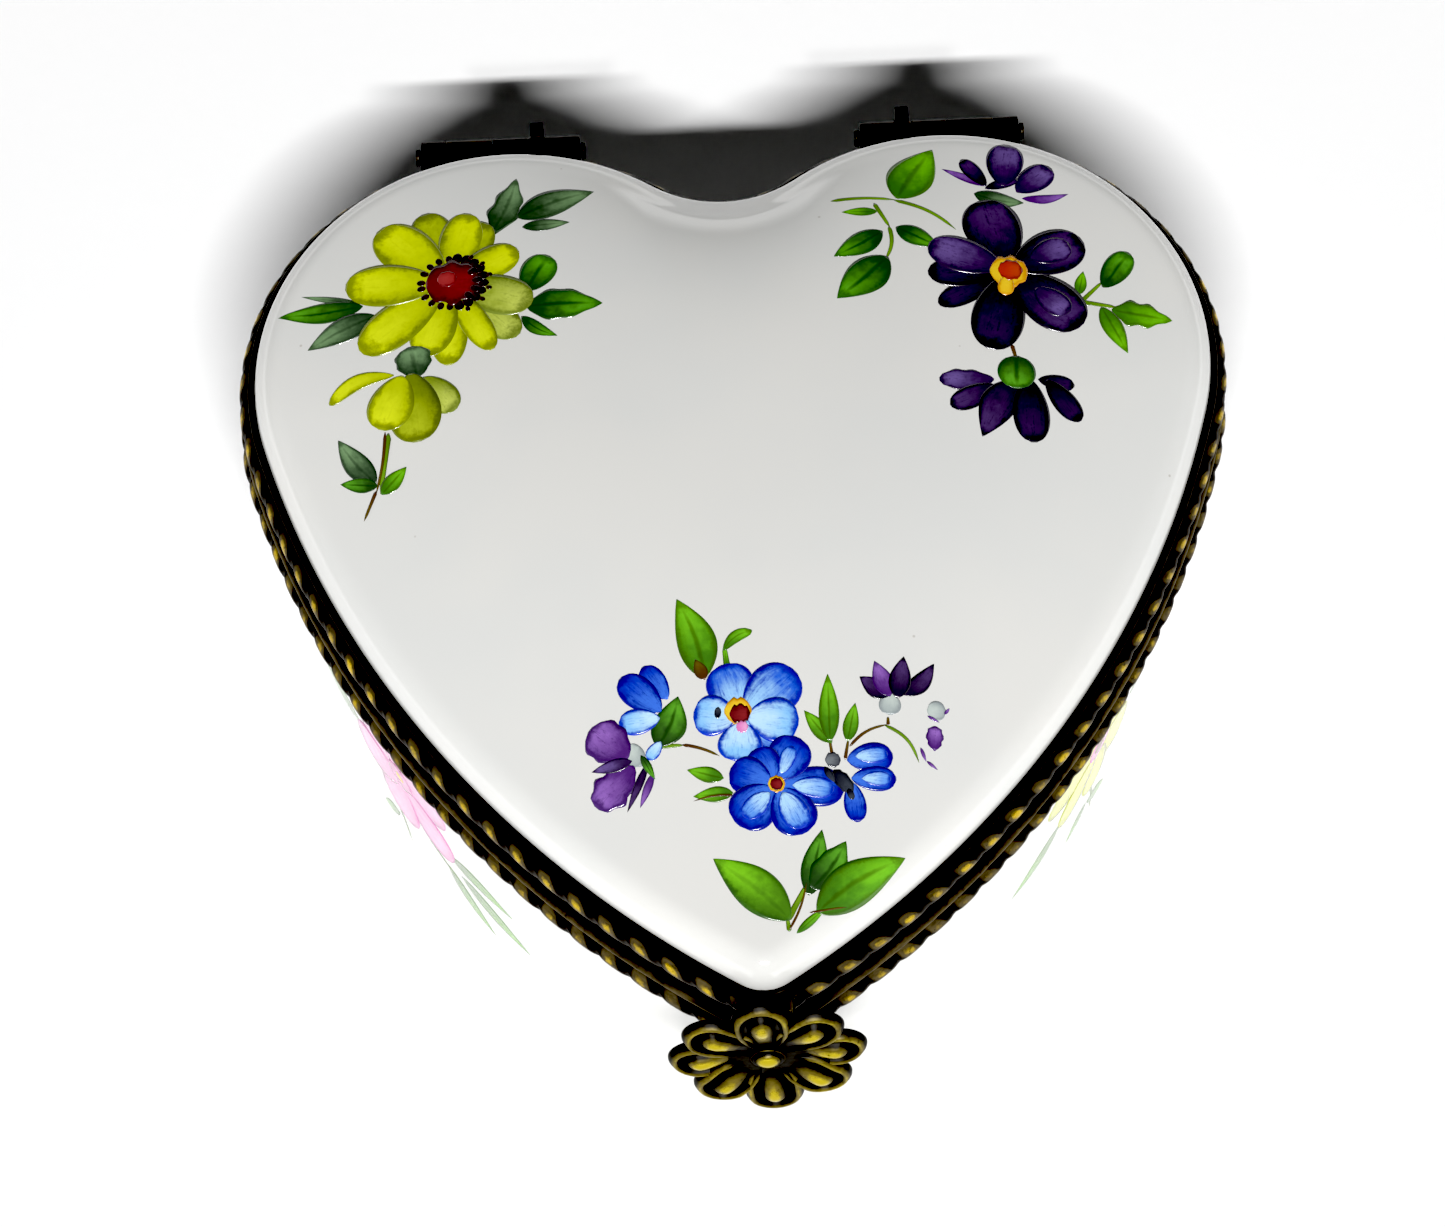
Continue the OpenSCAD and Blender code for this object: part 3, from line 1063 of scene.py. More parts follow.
class Palette:
    """Enamel colours of the sprays."""

    lemon = paint((0.72, 0.76, 0.16), (0.82, 0.86, 0.18), (0.40, 0.44, 0.06), 0.75, 0.0, 0.55, 0.12)
    olive = paint((0.46, 0.51, 0.12), (0.66, 0.71, 0.18), (0.30, 0.34, 0.08), 0.75, 0.0, 0.6, 0.2)
    pale_lime = paint((0.52, 0.58, 0.18), (0.74, 0.79, 0.36), (0.36, 0.42, 0.14), 0.8, 0.0, 0.55, 0.4)
    maroon = paint((0.44, 0.13, 0.14), (0.50, 0.16, 0.17), (0.22, 0.05, 0.08), 0.9, 0.0, 0.6, 0.35)
    stamen = paint((0.20, 0.03, 0.07), (0.13, 0.02, 0.06), (0.05, 0.01, 0.03), 0.2)
    rust = paint((0.64, 0.24, 0.24), (0.60, 0.20, 0.20), (0.44, 0.12, 0.13), 0.9, 0.0, 0.4)
    grey_leaf = paint((0.20, 0.27, 0.19), (0.46, 0.58, 0.42), (0.12, 0.18, 0.12), 0.7, 0.5, 0.5, 0.25)
    leaf = paint((0.17, 0.27, 0.14), (0.34, 0.60, 0.18), (0.12, 0.24, 0.10), 0.7, 0.8, 0.4, 0.2)
    bright_leaf = paint((0.26, 0.46, 0.14), (0.42, 0.70, 0.16), (0.22, 0.30, 0.08), 0.6, 0.55, 0.3, 0.15)
    brown_stem = paint((0.32, 0.20, 0.10), (0.36, 0.30, 0.12), (0.18, 0.10, 0.04), 0.4)
    green_stem = paint((0.36, 0.50, 0.12), (0.42, 0.58, 0.16), (0.24, 0.22, 0.08), 0.6)
    violet = paint((0.13, 0.08, 0.19), (0.29, 0.21, 0.40), (0.06, 0.02, 0.09), 0.95, 0.0, 0.5, 0.8)
    dark_violet = paint((0.10, 0.06, 0.15), (0.20, 0.14, 0.29), (0.04, 0.02, 0.07), 0.95, 0.0, 0.5, 0.8)
    light_violet = paint((0.20, 0.13, 0.29), (0.41, 0.33, 0.57), (0.11, 0.05, 0.17), 0.9, 0.0, 0.5, 0.7)
    purple = paint((0.32, 0.17, 0.46), (0.54, 0.38, 0.70), (0.22, 0.09, 0.36), 0.85, 0.0, 0.55, 0.7)
    yolk = paint((0.90, 0.76, 0.22), (0.90, 0.72, 0.20), (0.74, 0.46, 0.12), 0.6)
    orange = paint((0.72, 0.22, 0.10), (0.70, 0.26, 0.12), (0.46, 0.12, 0.06), 0.7)
    sky = paint((0.74, 0.88, 0.98), (0.50, 0.73, 0.95), (0.07, 0.22, 0.72), 1.0, 0.0, 0.15, 0.35)
    azure = paint((0.62, 0.81, 0.97), (0.16, 0.36, 0.82), (0.05, 0.16, 0.66), 1.0, 0.0, 0.25, 0.6)
    royal = paint((0.26, 0.45, 0.87), (0.08, 0.20, 0.70), (0.03, 0.09, 0.55), 1.0, 0.0, 0.45, 0.7)
    glow = paint((0.68, 0.84, 0.97), (0.34, 0.55, 0.90), (0.08, 0.21, 0.71), 1.0, 0.0, 0.1, 0.7)
    two_leaf = paint((0.30, 0.48, 0.14), (0.46, 0.74, 0.16), (0.18, 0.32, 0.12), 0.5, 0.3, 0.95, 0.1)
    ink = paint((0.10, 0.10, 0.14), (0.24, 0.26, 0.30), (0.03, 0.03, 0.05), 0.6, 0.0, 0.4, 0.5)
    slate = paint((0.46, 0.48, 0.50), (0.30, 0.31, 0.34), (0.14, 0.14, 0.18), 0.7, 0.0, 0.4, 0.4)
    mist = paint((0.74, 0.78, 0.76), (0.62, 0.66, 0.66), (0.48, 0.50, 0.52), 0.45)
    rose = paint((0.86, 0.50, 0.74), (0.90, 0.62, 0.80), (0.76, 0.40, 0.64), 0.5)
    blush = paint((0.80, 0.40, 0.64), (0.84, 0.46, 0.70), (0.68, 0.30, 0.56), 0.6)
    straw = paint((0.82, 0.82, 0.30), (0.84, 0.86, 0.32), (0.60, 0.62, 0.20), 0.5, 0.0, 0.4)
    sage = paint((0.42, 0.54, 0.36), (0.46, 0.68, 0.26), (0.30, 0.44, 0.24), 0.5, 0.4, 0.4)


def disc(x: float, y: float, size: float, paint: Paint, waves: float = 0.06) -> Stroke:
    """Round dab centred on a point."""
    return Stroke(x - size / 2, y, 0.0, size, size, paint, Form.DAB, 0.0, waves)


def petals(x: float, y: float, inner: float, *each: tuple[float, float, float, Paint]) -> list[Stroke]:
    """Petals of a flower, listed from the lowest to the uppermost.

    Args:
        x: the flower's centre.
        y: the flower's centre.
        inner: how far from it the petals begin.
        each: heading in degrees, reach from the centre, width and paint of each petal.

    Returns:
        The strokes.
    """
    made = []
    for heading, reach, width, paint in each:
        a = math.radians(heading)
        root_x, root_y = x + inner * math.cos(a), y + inner * math.sin(a)
        made.append(Stroke(root_x, root_y, heading, reach - inner, width, paint))
    return made


def dabs(
    x: float, y: float, ring: float, size: float, paint: Paint, headings: Sequence[float]
) -> list[Stroke]:
    """Dots set round a centre.

    Args:
        x: centre.
        y: centre.
        ring: distance of the dots from it.
        size: width of a dot.
        paint: its colours.
        headings: where the dots stand, in degrees.

    Returns:
        The strokes.
    """
    made = []
    for heading in headings:
        a = math.radians(heading)
        dot_x, dot_y = x + ring * math.cos(a), y + ring * math.sin(a)
        made.append(Stroke(dot_x, dot_y, heading, size * 1.3, size, paint, Form.DAB))
    return made


def yellow_strokes() -> list[Stroke]:
    """Strokes of the yellow spray on the left lobe."""
    p, leaf, stem = Palette, Form.LEAF, Form.STEM
    return [
        Stroke(-14.4, 20.8, 36, 2.5, 0.45, p.grey_leaf, stem),
        Stroke(-14.1, 21.1, 70, 4.5, 1.9, p.grey_leaf, leaf, -0.04, 0.12),
        Stroke(-12.6, 22.1, 22, 5.1, 2.1, p.grey_leaf, leaf, 0.03),
        Stroke(-12.3, 21.3, 3, 2.9, 0.95, p.grey_leaf, leaf),
        Stroke(-22.1, 16.7, 164, 3.8, 0.5, p.grey_leaf, leaf),
        Stroke(-22.0, 16.5, 180, 5.2, 1.5, p.leaf, leaf, 0.03),
        Stroke(-21.2, 15.7, 204, 4.6, 1.8, p.grey_leaf, leaf, -0.03),
        Stroke(-12.2, 16.3, 62, 3.0, 2.2, p.leaf, Form.PETAL),
        Stroke(-12.2, 15.2, -3, 4.6, 2.3, p.leaf, leaf, 0.02, 0.06),
        Stroke(-12.5, 14.5, -38, 2.7, 0.9, p.leaf, leaf, -0.08),
        *petals(
            -16.8, 17.5, 0.5, (104, 5.7, 2.8, p.olive), (63, 5.0, 2.6, p.olive), (77, 5.4, 2.6, p.lemon),
            (26, 4.7, 2.5, p.lemon), (-47, 6.0, 2.5, p.pale_lime), (-22, 5.4, 2.9, p.pale_lime),
            (-91, 6.0, 2.3, p.lemon), (-64, 5.8, 1.8, p.lemon), (-107, 5.4, 2.8, p.lemon),
            (132, 6.2, 3.3, p.lemon), (-141, 6.9, 3.0, p.lemon), (175, 6.3, 3.1, p.lemon),
        ),
        *dabs(-16.7, 17.5, 1.5, 0.42, p.stamen, (-172, -150, -130, -110, -92, 92, 112, 132, 152, 174)),
        *dabs(-16.5, 17.5, 1.35, 0.62, p.stamen, (-80, -62, -44, -26, -8, 10, 28, 46, 64, 82)),
        *dabs(-16.4, 17.4, 1.9, 0.3, p.stamen, (-70, -40, -15, 12, 38, 62)),
        disc(-16.6, 17.5, 3.2, p.maroon, 0.1), *dabs(-16.3, 17.4, 0.9, 0.5, p.stamen, (-55, -25, 5, 40)),
        disc(-16.9, 17.8, 1.2, p.rust, 0.1),
        Stroke(-18.8, 10.9, 100, 2.3, 2.2, p.grey_leaf, Form.PETAL, 0.0, 0.06),
        Stroke(-20.2, 11.3, 200, 4.2, 1.1, p.lemon, Form.PETAL, -0.14),
        Stroke(-18.5, 10.9, -53, 3.2, 2.0, p.pale_lime), Stroke(-19.2, 11.3, -86, 4.8, 3.2, p.olive),
        Stroke(-19.7, 11.2, -110, 3.8, 2.8, p.lemon),
        Stroke(-20.6, 7.4, -98, 4.0, 0.42, p.green_stem, stem),
        Stroke(-20.8, 7.5, -99, 4.2, 0.22, p.brown_stem, stem, 0.03),
        Stroke(-21.4, 3.7, -113, 2.0, 0.24, p.brown_stem, stem),
        Stroke(-21.4, 4.2, 125, 3.9, 1.5, p.grey_leaf, leaf, 0.04),
        Stroke(-21.3, 4.0, 168, 2.3, 1.0, p.leaf, leaf),
        Stroke(-21.1, 3.4, 46, 2.2, 1.1, p.bright_leaf, leaf),
    ]


def purple_strokes() -> list[Stroke]:
    """Strokes of the purple spray on the right lobe."""
    p, leaf, stem = Palette, Form.LEAF, Form.STEM
    return [
        Stroke(6.4, 22.3, -3, 4.0, 0.3, p.green_stem, stem, 0.04),
        Stroke(10.2, 22.1, -34, 4.4, 0.3, p.green_stem, stem, 0.08),
        Stroke(9.0, 21.9, -67, 2.2, 0.3, p.green_stem, stem),
        Stroke(9.8, 20.0, -98, 2.7, 0.3, p.green_stem, stem, 0.1),
        Stroke(10.4, 22.2, 59, 4.7, 2.9, p.bright_leaf, leaf, 0.02),
        Stroke(9.2, 21.2, 178, 2.2, 0.7, p.bright_leaf, leaf),
        Stroke(9.4, 19.6, -148, 3.6, 1.7, p.leaf, leaf, 0.02),
        Stroke(9.6, 17.6, -136, 4.5, 2.5, p.leaf, leaf, 0.02),
        Stroke(10.2, 19.9, -32, 3.0, 1.4, p.leaf, leaf),
        Stroke(20.9, 14.9, 77, 1.8, 0.75, p.bright_leaf, leaf),
        Stroke(21.0, 14.4, 47, 2.1, 0.3, p.green_stem, stem),
        Stroke(22.4, 15.5, 56, 3.2, 1.7, p.leaf, Form.PETAL),
        Stroke(21.0, 14.4, -8, 2.2, 0.35, p.green_stem, stem),
        Stroke(22.8, 13.9, -9, 3.7, 1.8, p.bright_leaf, leaf, 0.0, 0.15),
        Stroke(22.2, 14.1, -67, 3.5, 1.3, p.bright_leaf, leaf),
        Stroke(15.1, 22.5, -14, 3.1, 1.3, p.grey_leaf, leaf, -0.06),
        Stroke(15.9, 23.1, 151, 3.0, 0.6, p.purple, leaf), Stroke(15.9, 23.1, 122, 2.6, 1.1, p.violet),
        Stroke(18.0, 22.1, 8, 2.9, 0.7, p.purple, leaf, -0.08),
        Stroke(17.7, 22.6, 42, 3.0, 1.9, p.light_violet), Stroke(15.8, 22.9, 20, 2.2, 0.8, p.violet),
        Stroke(16.9, 23.1, 82, 3.5, 2.3, p.light_violet),
        Stroke(16.6, 11.2, -79, 1.3, 0.28, p.brown_stem, stem),
        Stroke(15.4, 8.7, -179, 3.3, 1.4, p.light_violet, Form.PETAL, 0.0, 0.08),
        Stroke(15.5, 8.3, -152, 3.2, 1.5, p.violet), Stroke(18.0, 8.8, -9, 2.2, 1.1, p.dark_violet),
        Stroke(18.5, 8.8, -56, 3.3, 1.5, p.dark_violet),
        Stroke(16.6, 8.7, -119, 4.5, 2.2, p.violet, leaf, -0.03),
        Stroke(17.4, 8.9, -89, 4.4, 2.2, p.dark_violet),
        Stroke(16.8, 10.4, -92, 2.3, 2.3, p.leaf, Form.DAB),
        *petals(
            16.8, 16.6, 0.4, (103, 5.5, 3.6, p.violet), (-149, 5.1, 1.7, p.dark_violet),
            (-104, 6.0, 3.2, p.dark_violet), (183, 4.9, 2.2, p.dark_violet),
            (158, 5.1, 2.6, p.light_violet), (-44, 5.7, 3.6, p.violet), (27, 5.2, 3.2, p.violet),
        ),
        Stroke(18.2, 17.5, 24, 2.7, 1.9, p.light_violet),
        Stroke(18.3, 15.3, -42, 2.6, 1.8, p.light_violet), disc(16.8, 16.5, 2.3, p.yolk, 0.12),
        Stroke(16.7, 16.2, -100, 1.5, 1.0, p.yolk), disc(16.9, 16.6, 1.5, p.orange, 0.1),
    ]


def blue_strokes() -> list[Stroke]:
    """Strokes of the blue spray over the tip."""
    p, leaf, stem, dab = Palette, Form.LEAF, Form.STEM, Form.DAB
    return [
        Stroke(1.5, -25.7, 96, 0.9, 0.3, p.green_stem, stem),
        Stroke(1.4, -25.1, 60, 2.6, 0.4, p.green_stem, stem),
        Stroke(1.9, -25.8, 41, 2.4, 0.5, p.bright_leaf, leaf),
        Stroke(2.7, -23.6, 76, 4.0, 1.5, p.leaf, leaf),
        Stroke(2.9, -23.2, 53, 3.5, 1.9, p.leaf, leaf, -0.05, 0.05),
        Stroke(1.6, -25.0, 138, 5.7, 2.5, p.two_leaf, leaf, -0.02),
        Stroke(3.1, -24.6, 32, 6.2, 2.5, p.bright_leaf, leaf, 0.05),
        Stroke(1.5, -25.6, 68, 3.0, 0.16, p.brown_stem, stem, -0.05),
        Stroke(2.7, -24.6, 10, 2.2, 0.14, p.brown_stem, stem),
        Stroke(-2.6, -10.4, 106, 5.2, 2.3, p.bright_leaf, leaf, -0.05),
        Stroke(-2.6, -10.5, 112, 1.4, 0.8, p.brown_stem, leaf),
        Stroke(-1.3, -9.8, 95, 1.3, 0.4, p.bright_leaf, stem),
        Stroke(-1.5, -8.8, 34, 2.1, 0.75, p.bright_leaf, Form.PETAL, 0.12),
        Stroke(-1.8, -16.5, 162, 2.2, 0.95, p.bright_leaf, leaf),
        Stroke(-1.3, -17.4, 181, 2.3, 0.95, p.bright_leaf, leaf),
        Stroke(-1.3, -17.55, 184, 2.3, 0.16, p.brown_stem, stem, -0.06),
        Stroke(-5.6, -14.3, -1, 1.6, 0.3, p.green_stem, stem),
        Stroke(-4.1, -14.3, -22, 2.3, 0.22, p.brown_stem, stem, 0.05),
        Stroke(4.5, -15.5, 96, 1.2, 0.22, p.brown_stem, stem),
        Stroke(5.2, -15.6, 78, 1.3, 0.22, p.brown_stem, stem),
        Stroke(4.5, -14.6, 127, 2.5, 1.0, p.bright_leaf, leaf),
        Stroke(4.4, -14.5, 89, 4.1, 1.2, p.bright_leaf, leaf),
        Stroke(5.4, -14.5, 76, 2.4, 0.9, p.bright_leaf, leaf),
        Stroke(5.5, -14.8, 30, 2.7, 0.2, p.brown_stem, stem, 0.1),
        Stroke(7.6, -13.5, -50, 2.9, 0.24, p.green_stem, stem, 0.14),
        Stroke(7.8, -13.5, 88, 0.5, 0.22, p.brown_stem, stem),
        Stroke(-5.5, -14.3, 66, 3.2, 2.0, p.leaf, leaf, -0.06),
        Stroke(-5.3, -14.0, -128, 1.3, 0.8, p.sky), Stroke(-4.8, -11.5, 123, 2.5, 1.4, p.royal),
        Stroke(-5.2, -12.2, 136, 3.2, 1.9, p.royal), Stroke(-5.3, -12.6, 184, 2.4, 1.6, p.sky),
        Stroke(-7.3, -14.0, -58, 1.6, 1.2, p.mist, dab),
        Stroke(-7.2, -14.8, 138, 2.9, 2.5, p.purple, Form.PETAL, 0.0, 0.06),
        Stroke(-6.9, -15.3, -135, 3.2, 2.2, p.purple, Form.PETAL, 0.0, 0.12),
        Stroke(-7.0, -15.0, 190, 2.4, 0.8, p.light_violet, leaf),
        Stroke(-6.1, -15.2, -115, 3.1, 0.5, p.violet, leaf),
        Stroke(-5.8, -15.8, -113, 2.2, 0.5, p.purple, leaf),
        Stroke(-6.5, -14.7, -63, 1.7, 0.5, p.leaf, leaf), Stroke(8.0, -11.5, -92, 1.4, 1.3, p.mist),
        Stroke(7.9, -11.8, 143, 2.0, 1.2, p.violet, leaf),
        Stroke(8.0, -11.8, 110, 2.3, 1.2, p.purple, leaf),
        Stroke(8.8, -11.7, 46, 2.7, 1.1, p.violet, leaf, -0.08),
        Stroke(8.4, -11.9, 78, 2.6, 1.3, p.violet, leaf), Stroke(10.1, -12.6, 0, 1.1, 1.2, p.mist, dab),
        Stroke(10.1, -12.9, -30, 0.8, 0.2, p.purple, leaf),
        Stroke(11.1, -12.8, 50, 0.5, 0.2, p.purple, leaf),
        Stroke(10.4, -15.0, 86, 1.5, 1.0, p.purple, Form.PETAL, 0.0, 0.12),
        Stroke(9.6, -14.8, -72, 0.9, 0.22, p.purple, leaf),
        Stroke(9.9, -15.6, -40, 0.8, 0.2, p.purple, leaf),
        *petals(
            -0.6, -12.9, 0.3, (-35, 2.9, 2.0, p.azure), (106, 3.4, 2.8, p.azure), (40, 4.2, 3.1, p.azure),
            (-7, 3.3, 2.8, p.sky), (173, 2.8, 2.5, p.sky), (-96, 2.7, 2.6, p.sky),
        ),
        disc(-0.8, -12.5, 1.6, p.yolk, 0.12), disc(-0.7, -12.7, 1.2, p.maroon, 0.15),
        disc(-0.6, -13.5, 0.7, p.rose, 0.2), Stroke(-2.0, -12.9, 84, 0.7, 0.4, p.ink, dab),
        Stroke(5.3, -15.6, 6, 2.7, 1.8, p.royal), Stroke(5.5, -16.7, 0, 2.6, 1.5, p.royal),
        Stroke(5.5, -16.9, -84, 2.4, 1.3, p.royal), Stroke(5.8, -15.4, 6, 1.9, 1.0, p.glow),
        Stroke(6.1, -16.7, 0, 1.7, 0.9, p.glow),
        *petals(
            1.2, -17.0, 0.3, (-4, 3.9, 2.4, p.royal), (64, 3.1, 2.5, p.royal), (121, 2.4, 2.2, p.royal),
            (161, 2.8, 2.3, p.royal), (-136, 3.3, 2.8, p.royal), (-63, 3.3, 2.7, p.royal),
        ),
        Stroke(1.5, -17.5, -62, 2.4, 1.7, p.glow), Stroke(0.8, -17.5, -138, 2.1, 1.3, p.glow),
        Stroke(2.1, -17.1, -5, 2.4, 1.3, p.glow), Stroke(1.5, -16.4, 66, 1.8, 0.9, p.glow),
        disc(1.2, -17.0, 1.0, p.yolk, 0.1), disc(1.2, -17.0, 0.75, p.maroon, 0.1),
        Stroke(4.5, -16.2, -52, 1.7, 0.9, p.ink, dab, 0.0, 0.1),
        Stroke(4.0, -16.0, -60, 1.1, 0.45, p.ink, leaf), disc(4.5, -15.6, 0.9, p.slate, 0.1),
        Stroke(5.3, -17.3, -70, 0.7, 0.4, p.ink, dab),
    ]


def rose_strokes() -> list[Stroke]:
    """Strokes of the pink spray on the cup's left front side."""
    p, leaf, stem = Palette, Form.LEAF, Form.STEM
    return [
        Stroke(6.0, 7.2, -14, 6.4, 1.7, p.sage, leaf), Stroke(5.0, 8.4, 6, 6.0, 1.6, p.sage, leaf, 0.05),
        Stroke(4.6, 6.4, -38, 5.4, 1.5, p.sage, leaf, -0.05),
        Stroke(-5.5, 12.5, 168, 6.0, 1.9, p.sage, leaf, 0.05),
        Stroke(-5.2, 10.0, 196, 5.6, 1.7, p.sage, leaf),
        Stroke(2.5, 7.0, -20, 4.0, 0.3, p.green_stem, stem),
        Stroke(-1.0, 5.0, -76, 3.6, 0.3, p.green_stem, stem, 0.06),
        Stroke(-1.2, 3.9, -140, 2.8, 1.1, p.sage, leaf), Stroke(0.0, 11.0, 150, 6.2, 4.6, p.rose),
        Stroke(0.2, 11.5, 95, 5.0, 4.4, p.rose), Stroke(0.4, 11.0, 38, 5.6, 4.4, p.rose),
        Stroke(0.2, 10.6, -28, 5.8, 4.2, p.rose), Stroke(0.0, 10.4, -100, 5.6, 4.4, p.rose),
        Stroke(-0.2, 10.6, 205, 5.8, 4.0, p.rose),
        Stroke(-1.2, 10.8, 20, 2.8, 2.4, p.blush, Form.DAB, 0.0, 0.08),
        Stroke(-0.4, 11.2, 0, 0.9, 0.9, p.yolk, Form.DAB),
    ]


def straw_strokes() -> list[Stroke]:
    """Strokes of the pale yellow spray on the cup's right front side."""
    p, leaf, stem = Palette, Form.LEAF, Form.STEM
    return [
        Stroke(4.5, 12.5, 20, 5.6, 1.8, p.sage, leaf),
        Stroke(4.8, 9.5, -12, 5.8, 1.7, p.sage, leaf, 0.04),
        Stroke(-4.6, 8.2, 200, 5.4, 1.6, p.sage, leaf, 0.05),
        Stroke(-0.4, 6.0, -84, 3.8, 0.3, p.green_stem, stem, 0.05),
        Stroke(-0.6, 4.2, -30, 3.0, 1.2, p.sage, leaf), Stroke(-0.8, 4.4, 212, 2.8, 1.1, p.sage, leaf),
        Stroke(-0.2, 11.2, 168, 6.4, 3.4, p.straw), Stroke(0.0, 11.5, 118, 5.2, 3.4, p.straw),
        Stroke(0.2, 11.6, 66, 5.2, 3.6, p.straw), Stroke(0.3, 11.2, 14, 5.8, 3.4, p.straw),
        Stroke(0.2, 10.8, -40, 5.4, 3.4, p.straw), Stroke(0.0, 10.6, -92, 5.0, 3.2, p.straw),
        Stroke(-0.2, 10.8, 216, 5.4, 3.2, p.straw), Stroke(-1.3, 11.0, 12, 2.7, 2.5, p.rose, Form.DAB),
        Stroke(-0.7, 11.3, 0, 1.4, 1.4, p.maroon, Form.DAB),
    ]


@dataclass
class Painting:
    """The five painted sprays: three on the lid and one on each front side of the cup."""

    side_share: float = 0.17

    def side_canvas(self, cup: BVHTree, mirrored: bool) -> Canvas:
        """Canvas that faces one front side of the cup square on.

        Args:
            cup: the cup's surface.
            mirrored: whether it is the left side.

        Returns:
            The canvas, whose origin lies at the height of the foot.
        """
        share = 1 - self.side_share if mirrored else self.side_share
        here, ahead = HEART.at(share, 1.8), HEART.at(share + 0.004, 1.8)
        right = (ahead - here).normalized()
        return Canvas(cup, here, right, Vector((0, 0, 1)))

    def build(self, finishes: Finishes, lid: BVHTree, cup: BVHTree) -> None:
        """Lays every spray.

        Args:
            finishes: the finishes.
            lid: the lid's porcelain surface.
            cup: the cup's porcelain surface.
        """
        top = Canvas(lid, Vector((0, 0, 0)), Vector((1, 0, 0)), Vector((0, 1, 0)))
        for name, strokes in (("yellow_spray", yellow_strokes()), ("purple_spray", purple_strokes()),
                              ("blue_spray", blue_strokes())):
            Spray(name, "lid", top, strokes).build(finishes)
        Spray("rose_spray", "base", self.side_canvas(cup, True), rose_strokes()).build(finishes)
        Spray("straw_spray", "base", self.side_canvas(cup, False), straw_strokes()).build(finishes)


# ---- Clasp and hinges -------------------------------------------------------------------------------


@dataclass
class FlowerClasp:
    """Cast flower: eight spoon-shaped petals with a raised rim, a groove and a drop in the bowl."""

    root: float = 0.75
    bowl_at: float = 4.02
    bowl: float = 1.72
    neck: float = 0.42
    back: float = 0.3
    seat_y: float = -30.061
    seat_z: float = 20.86
    lean: float = 5.0
    turn: float = 5.0
    raised: Sequence[float] = (0.34, 0.20, -0.14, 0.04, 0.0, 0.04, -0.14, 0.20)
    reach: Sequence[float] = (1.10, 1.03, 1.0, 1.0, 1.11, 1.02, 1.0, 1.03)
    across: int = 30
    along: int = 40

    def stand(self, work: Work) -> None:
        """Stands the flower up against the tongue."""
        upright = Matrix.Rotation(math.radians(90 - self.lean), 4, "X")
        turned = Matrix.Rotation(math.radians(self.turn), 4, "Z")
        place = Matrix.Translation((0, self.seat_y, self.seat_z))
        bmesh.ops.transform(work.bm, matrix=place @ upright @ turned, verts=work.bm.verts)

    def face(self, x: float, r: float, half: float) -> tuple[float, float]:
        """Height of a petal's face above its back, and how proud it stands.

        Args:
            x: distance to the petal's side.
            r: distance from the flower's middle.
            half: the petal's half width there.

        Returns:
            The height in millimetres and the proudness.
        """
        ahead = r - self.bowl_at
        edge = math.hypot(x, ahead) / self.bowl if ahead > 0 else abs(x) / max(half, 0.05)
        edge = min(1.0, edge)
        mouth = smooth(1.2, 2.6, r)
        rim = bump_at(edge, 0.80, 0.13)
        groove = bump_at(edge, 0.52, 0.15) * mouth
        drop = bump_at(math.hypot(x / 0.62, (ahead + 0.15) / (0.72 if ahead > -0.15 else 1.5)), 0.0, 0.95)
        fall = math.sqrt(max(0.0, 1 - edge**6))
        arch = 0.05 + 0.55 * smooth(self.root, self.bowl_at, r) - 0.14 * smooth(self.bowl_at, 5.8, r)
        height = (arch + 0.20 * rim + 0.36 * drop - 0.34 * groove) * (0.1 + 0.9 * fall)
        proud = 0.22 + 0.66 * rim * mouth + 0.85 * drop - 0.75 * groove - 0.3 * (1 - mouth)
        return max(0.05, height), max(0.0, min(1.0, proud * (0.25 + 0.75 * fall)))

    def petal(self, work: Work, index: int) -> None:
        """Adds one petal, pointing away from the middle."""
        spin = Matrix.Rotation(math.tau * index / len(self.raised), 4, "Z")
        verts = work.sheet(self.across, self.along, lambda u, v: Vector((u, v, 0)))
        faces = list({f for v in verts for f in v.link_faces})
        made = bmesh.ops.extrude_face_region(work.bm, geom=faces, use_keep_orig=True)["geom"]
        tops = {g for g in made if isinstance(g, bmesh.types.BMVert)}
        for v in list(verts) + list(tops):
            u = math.sin((v.co.x - 0.5) * math.pi)
            r = self.root + (self.bowl_at + self.bowl - self.root) * math.sin(v.co.y * math.pi / 2)
            if r > self.bowl_at:
                half = math.sqrt(max(0.0, self.bowl**2 - (r - self.bowl_at) ** 2))
            else:
                widening = math.sin(math.pi / 2 * smooth(self.root - 0.6, self.bowl_at, r))
                half = self.neck + (self.bowl - self.neck) * widening
            x = u * max(half, 0.015)
            height, proud = self.face(x, r, half)
            z = self.back + self.raised[index] + (height if v in tops else 0.0)
            v.co = spin @ Vector((x, self.root + (r - self.root) * self.reach[index], z))
            v[work.relief] = proud if v in tops else 0.05

    def build(self, finishes: Finishes) -> None:
        """Builds the flower and its middle bead."""
        work = Work()
        for index in range(len(self.raised)):
            self.petal(work, index)
        work.spun(
            [(0.0, 0.12), (1.6, 0.12), (1.75, 0.2), (1.8, 0.36), (2.5, 0.38), (2.6, 0.46), (2.4, 0.56),
             (1.2, 0.62), (0.0, 0.64)],
            48, [0.1] * 9)
        self.stand(work)
        work.piece("flower_petals", "clasp", "cast_brass", finishes, ["clasp_flower"])
        work = Work()
        work.spun(
            [(0.0, 0.66), (0.86, 0.66), (0.98, 0.71), (1.0, 0.80), (0.94, 0.87), (0.78, 0.88), (0.72, 0.92),
             (0.66, 1.04), (0.5, 1.16), (0.26, 1.25), (0.0, 1.28)],
            40, [0.1, 0.1, 0.3, 0.6, 0.3, 0.0, 0.2, 0.6, 0.9, 1.0, 1.0])
        self.stand(work)
        work.piece("flower_bead", "clasp", "cast_brass", finishes, ["clasp_centre"])


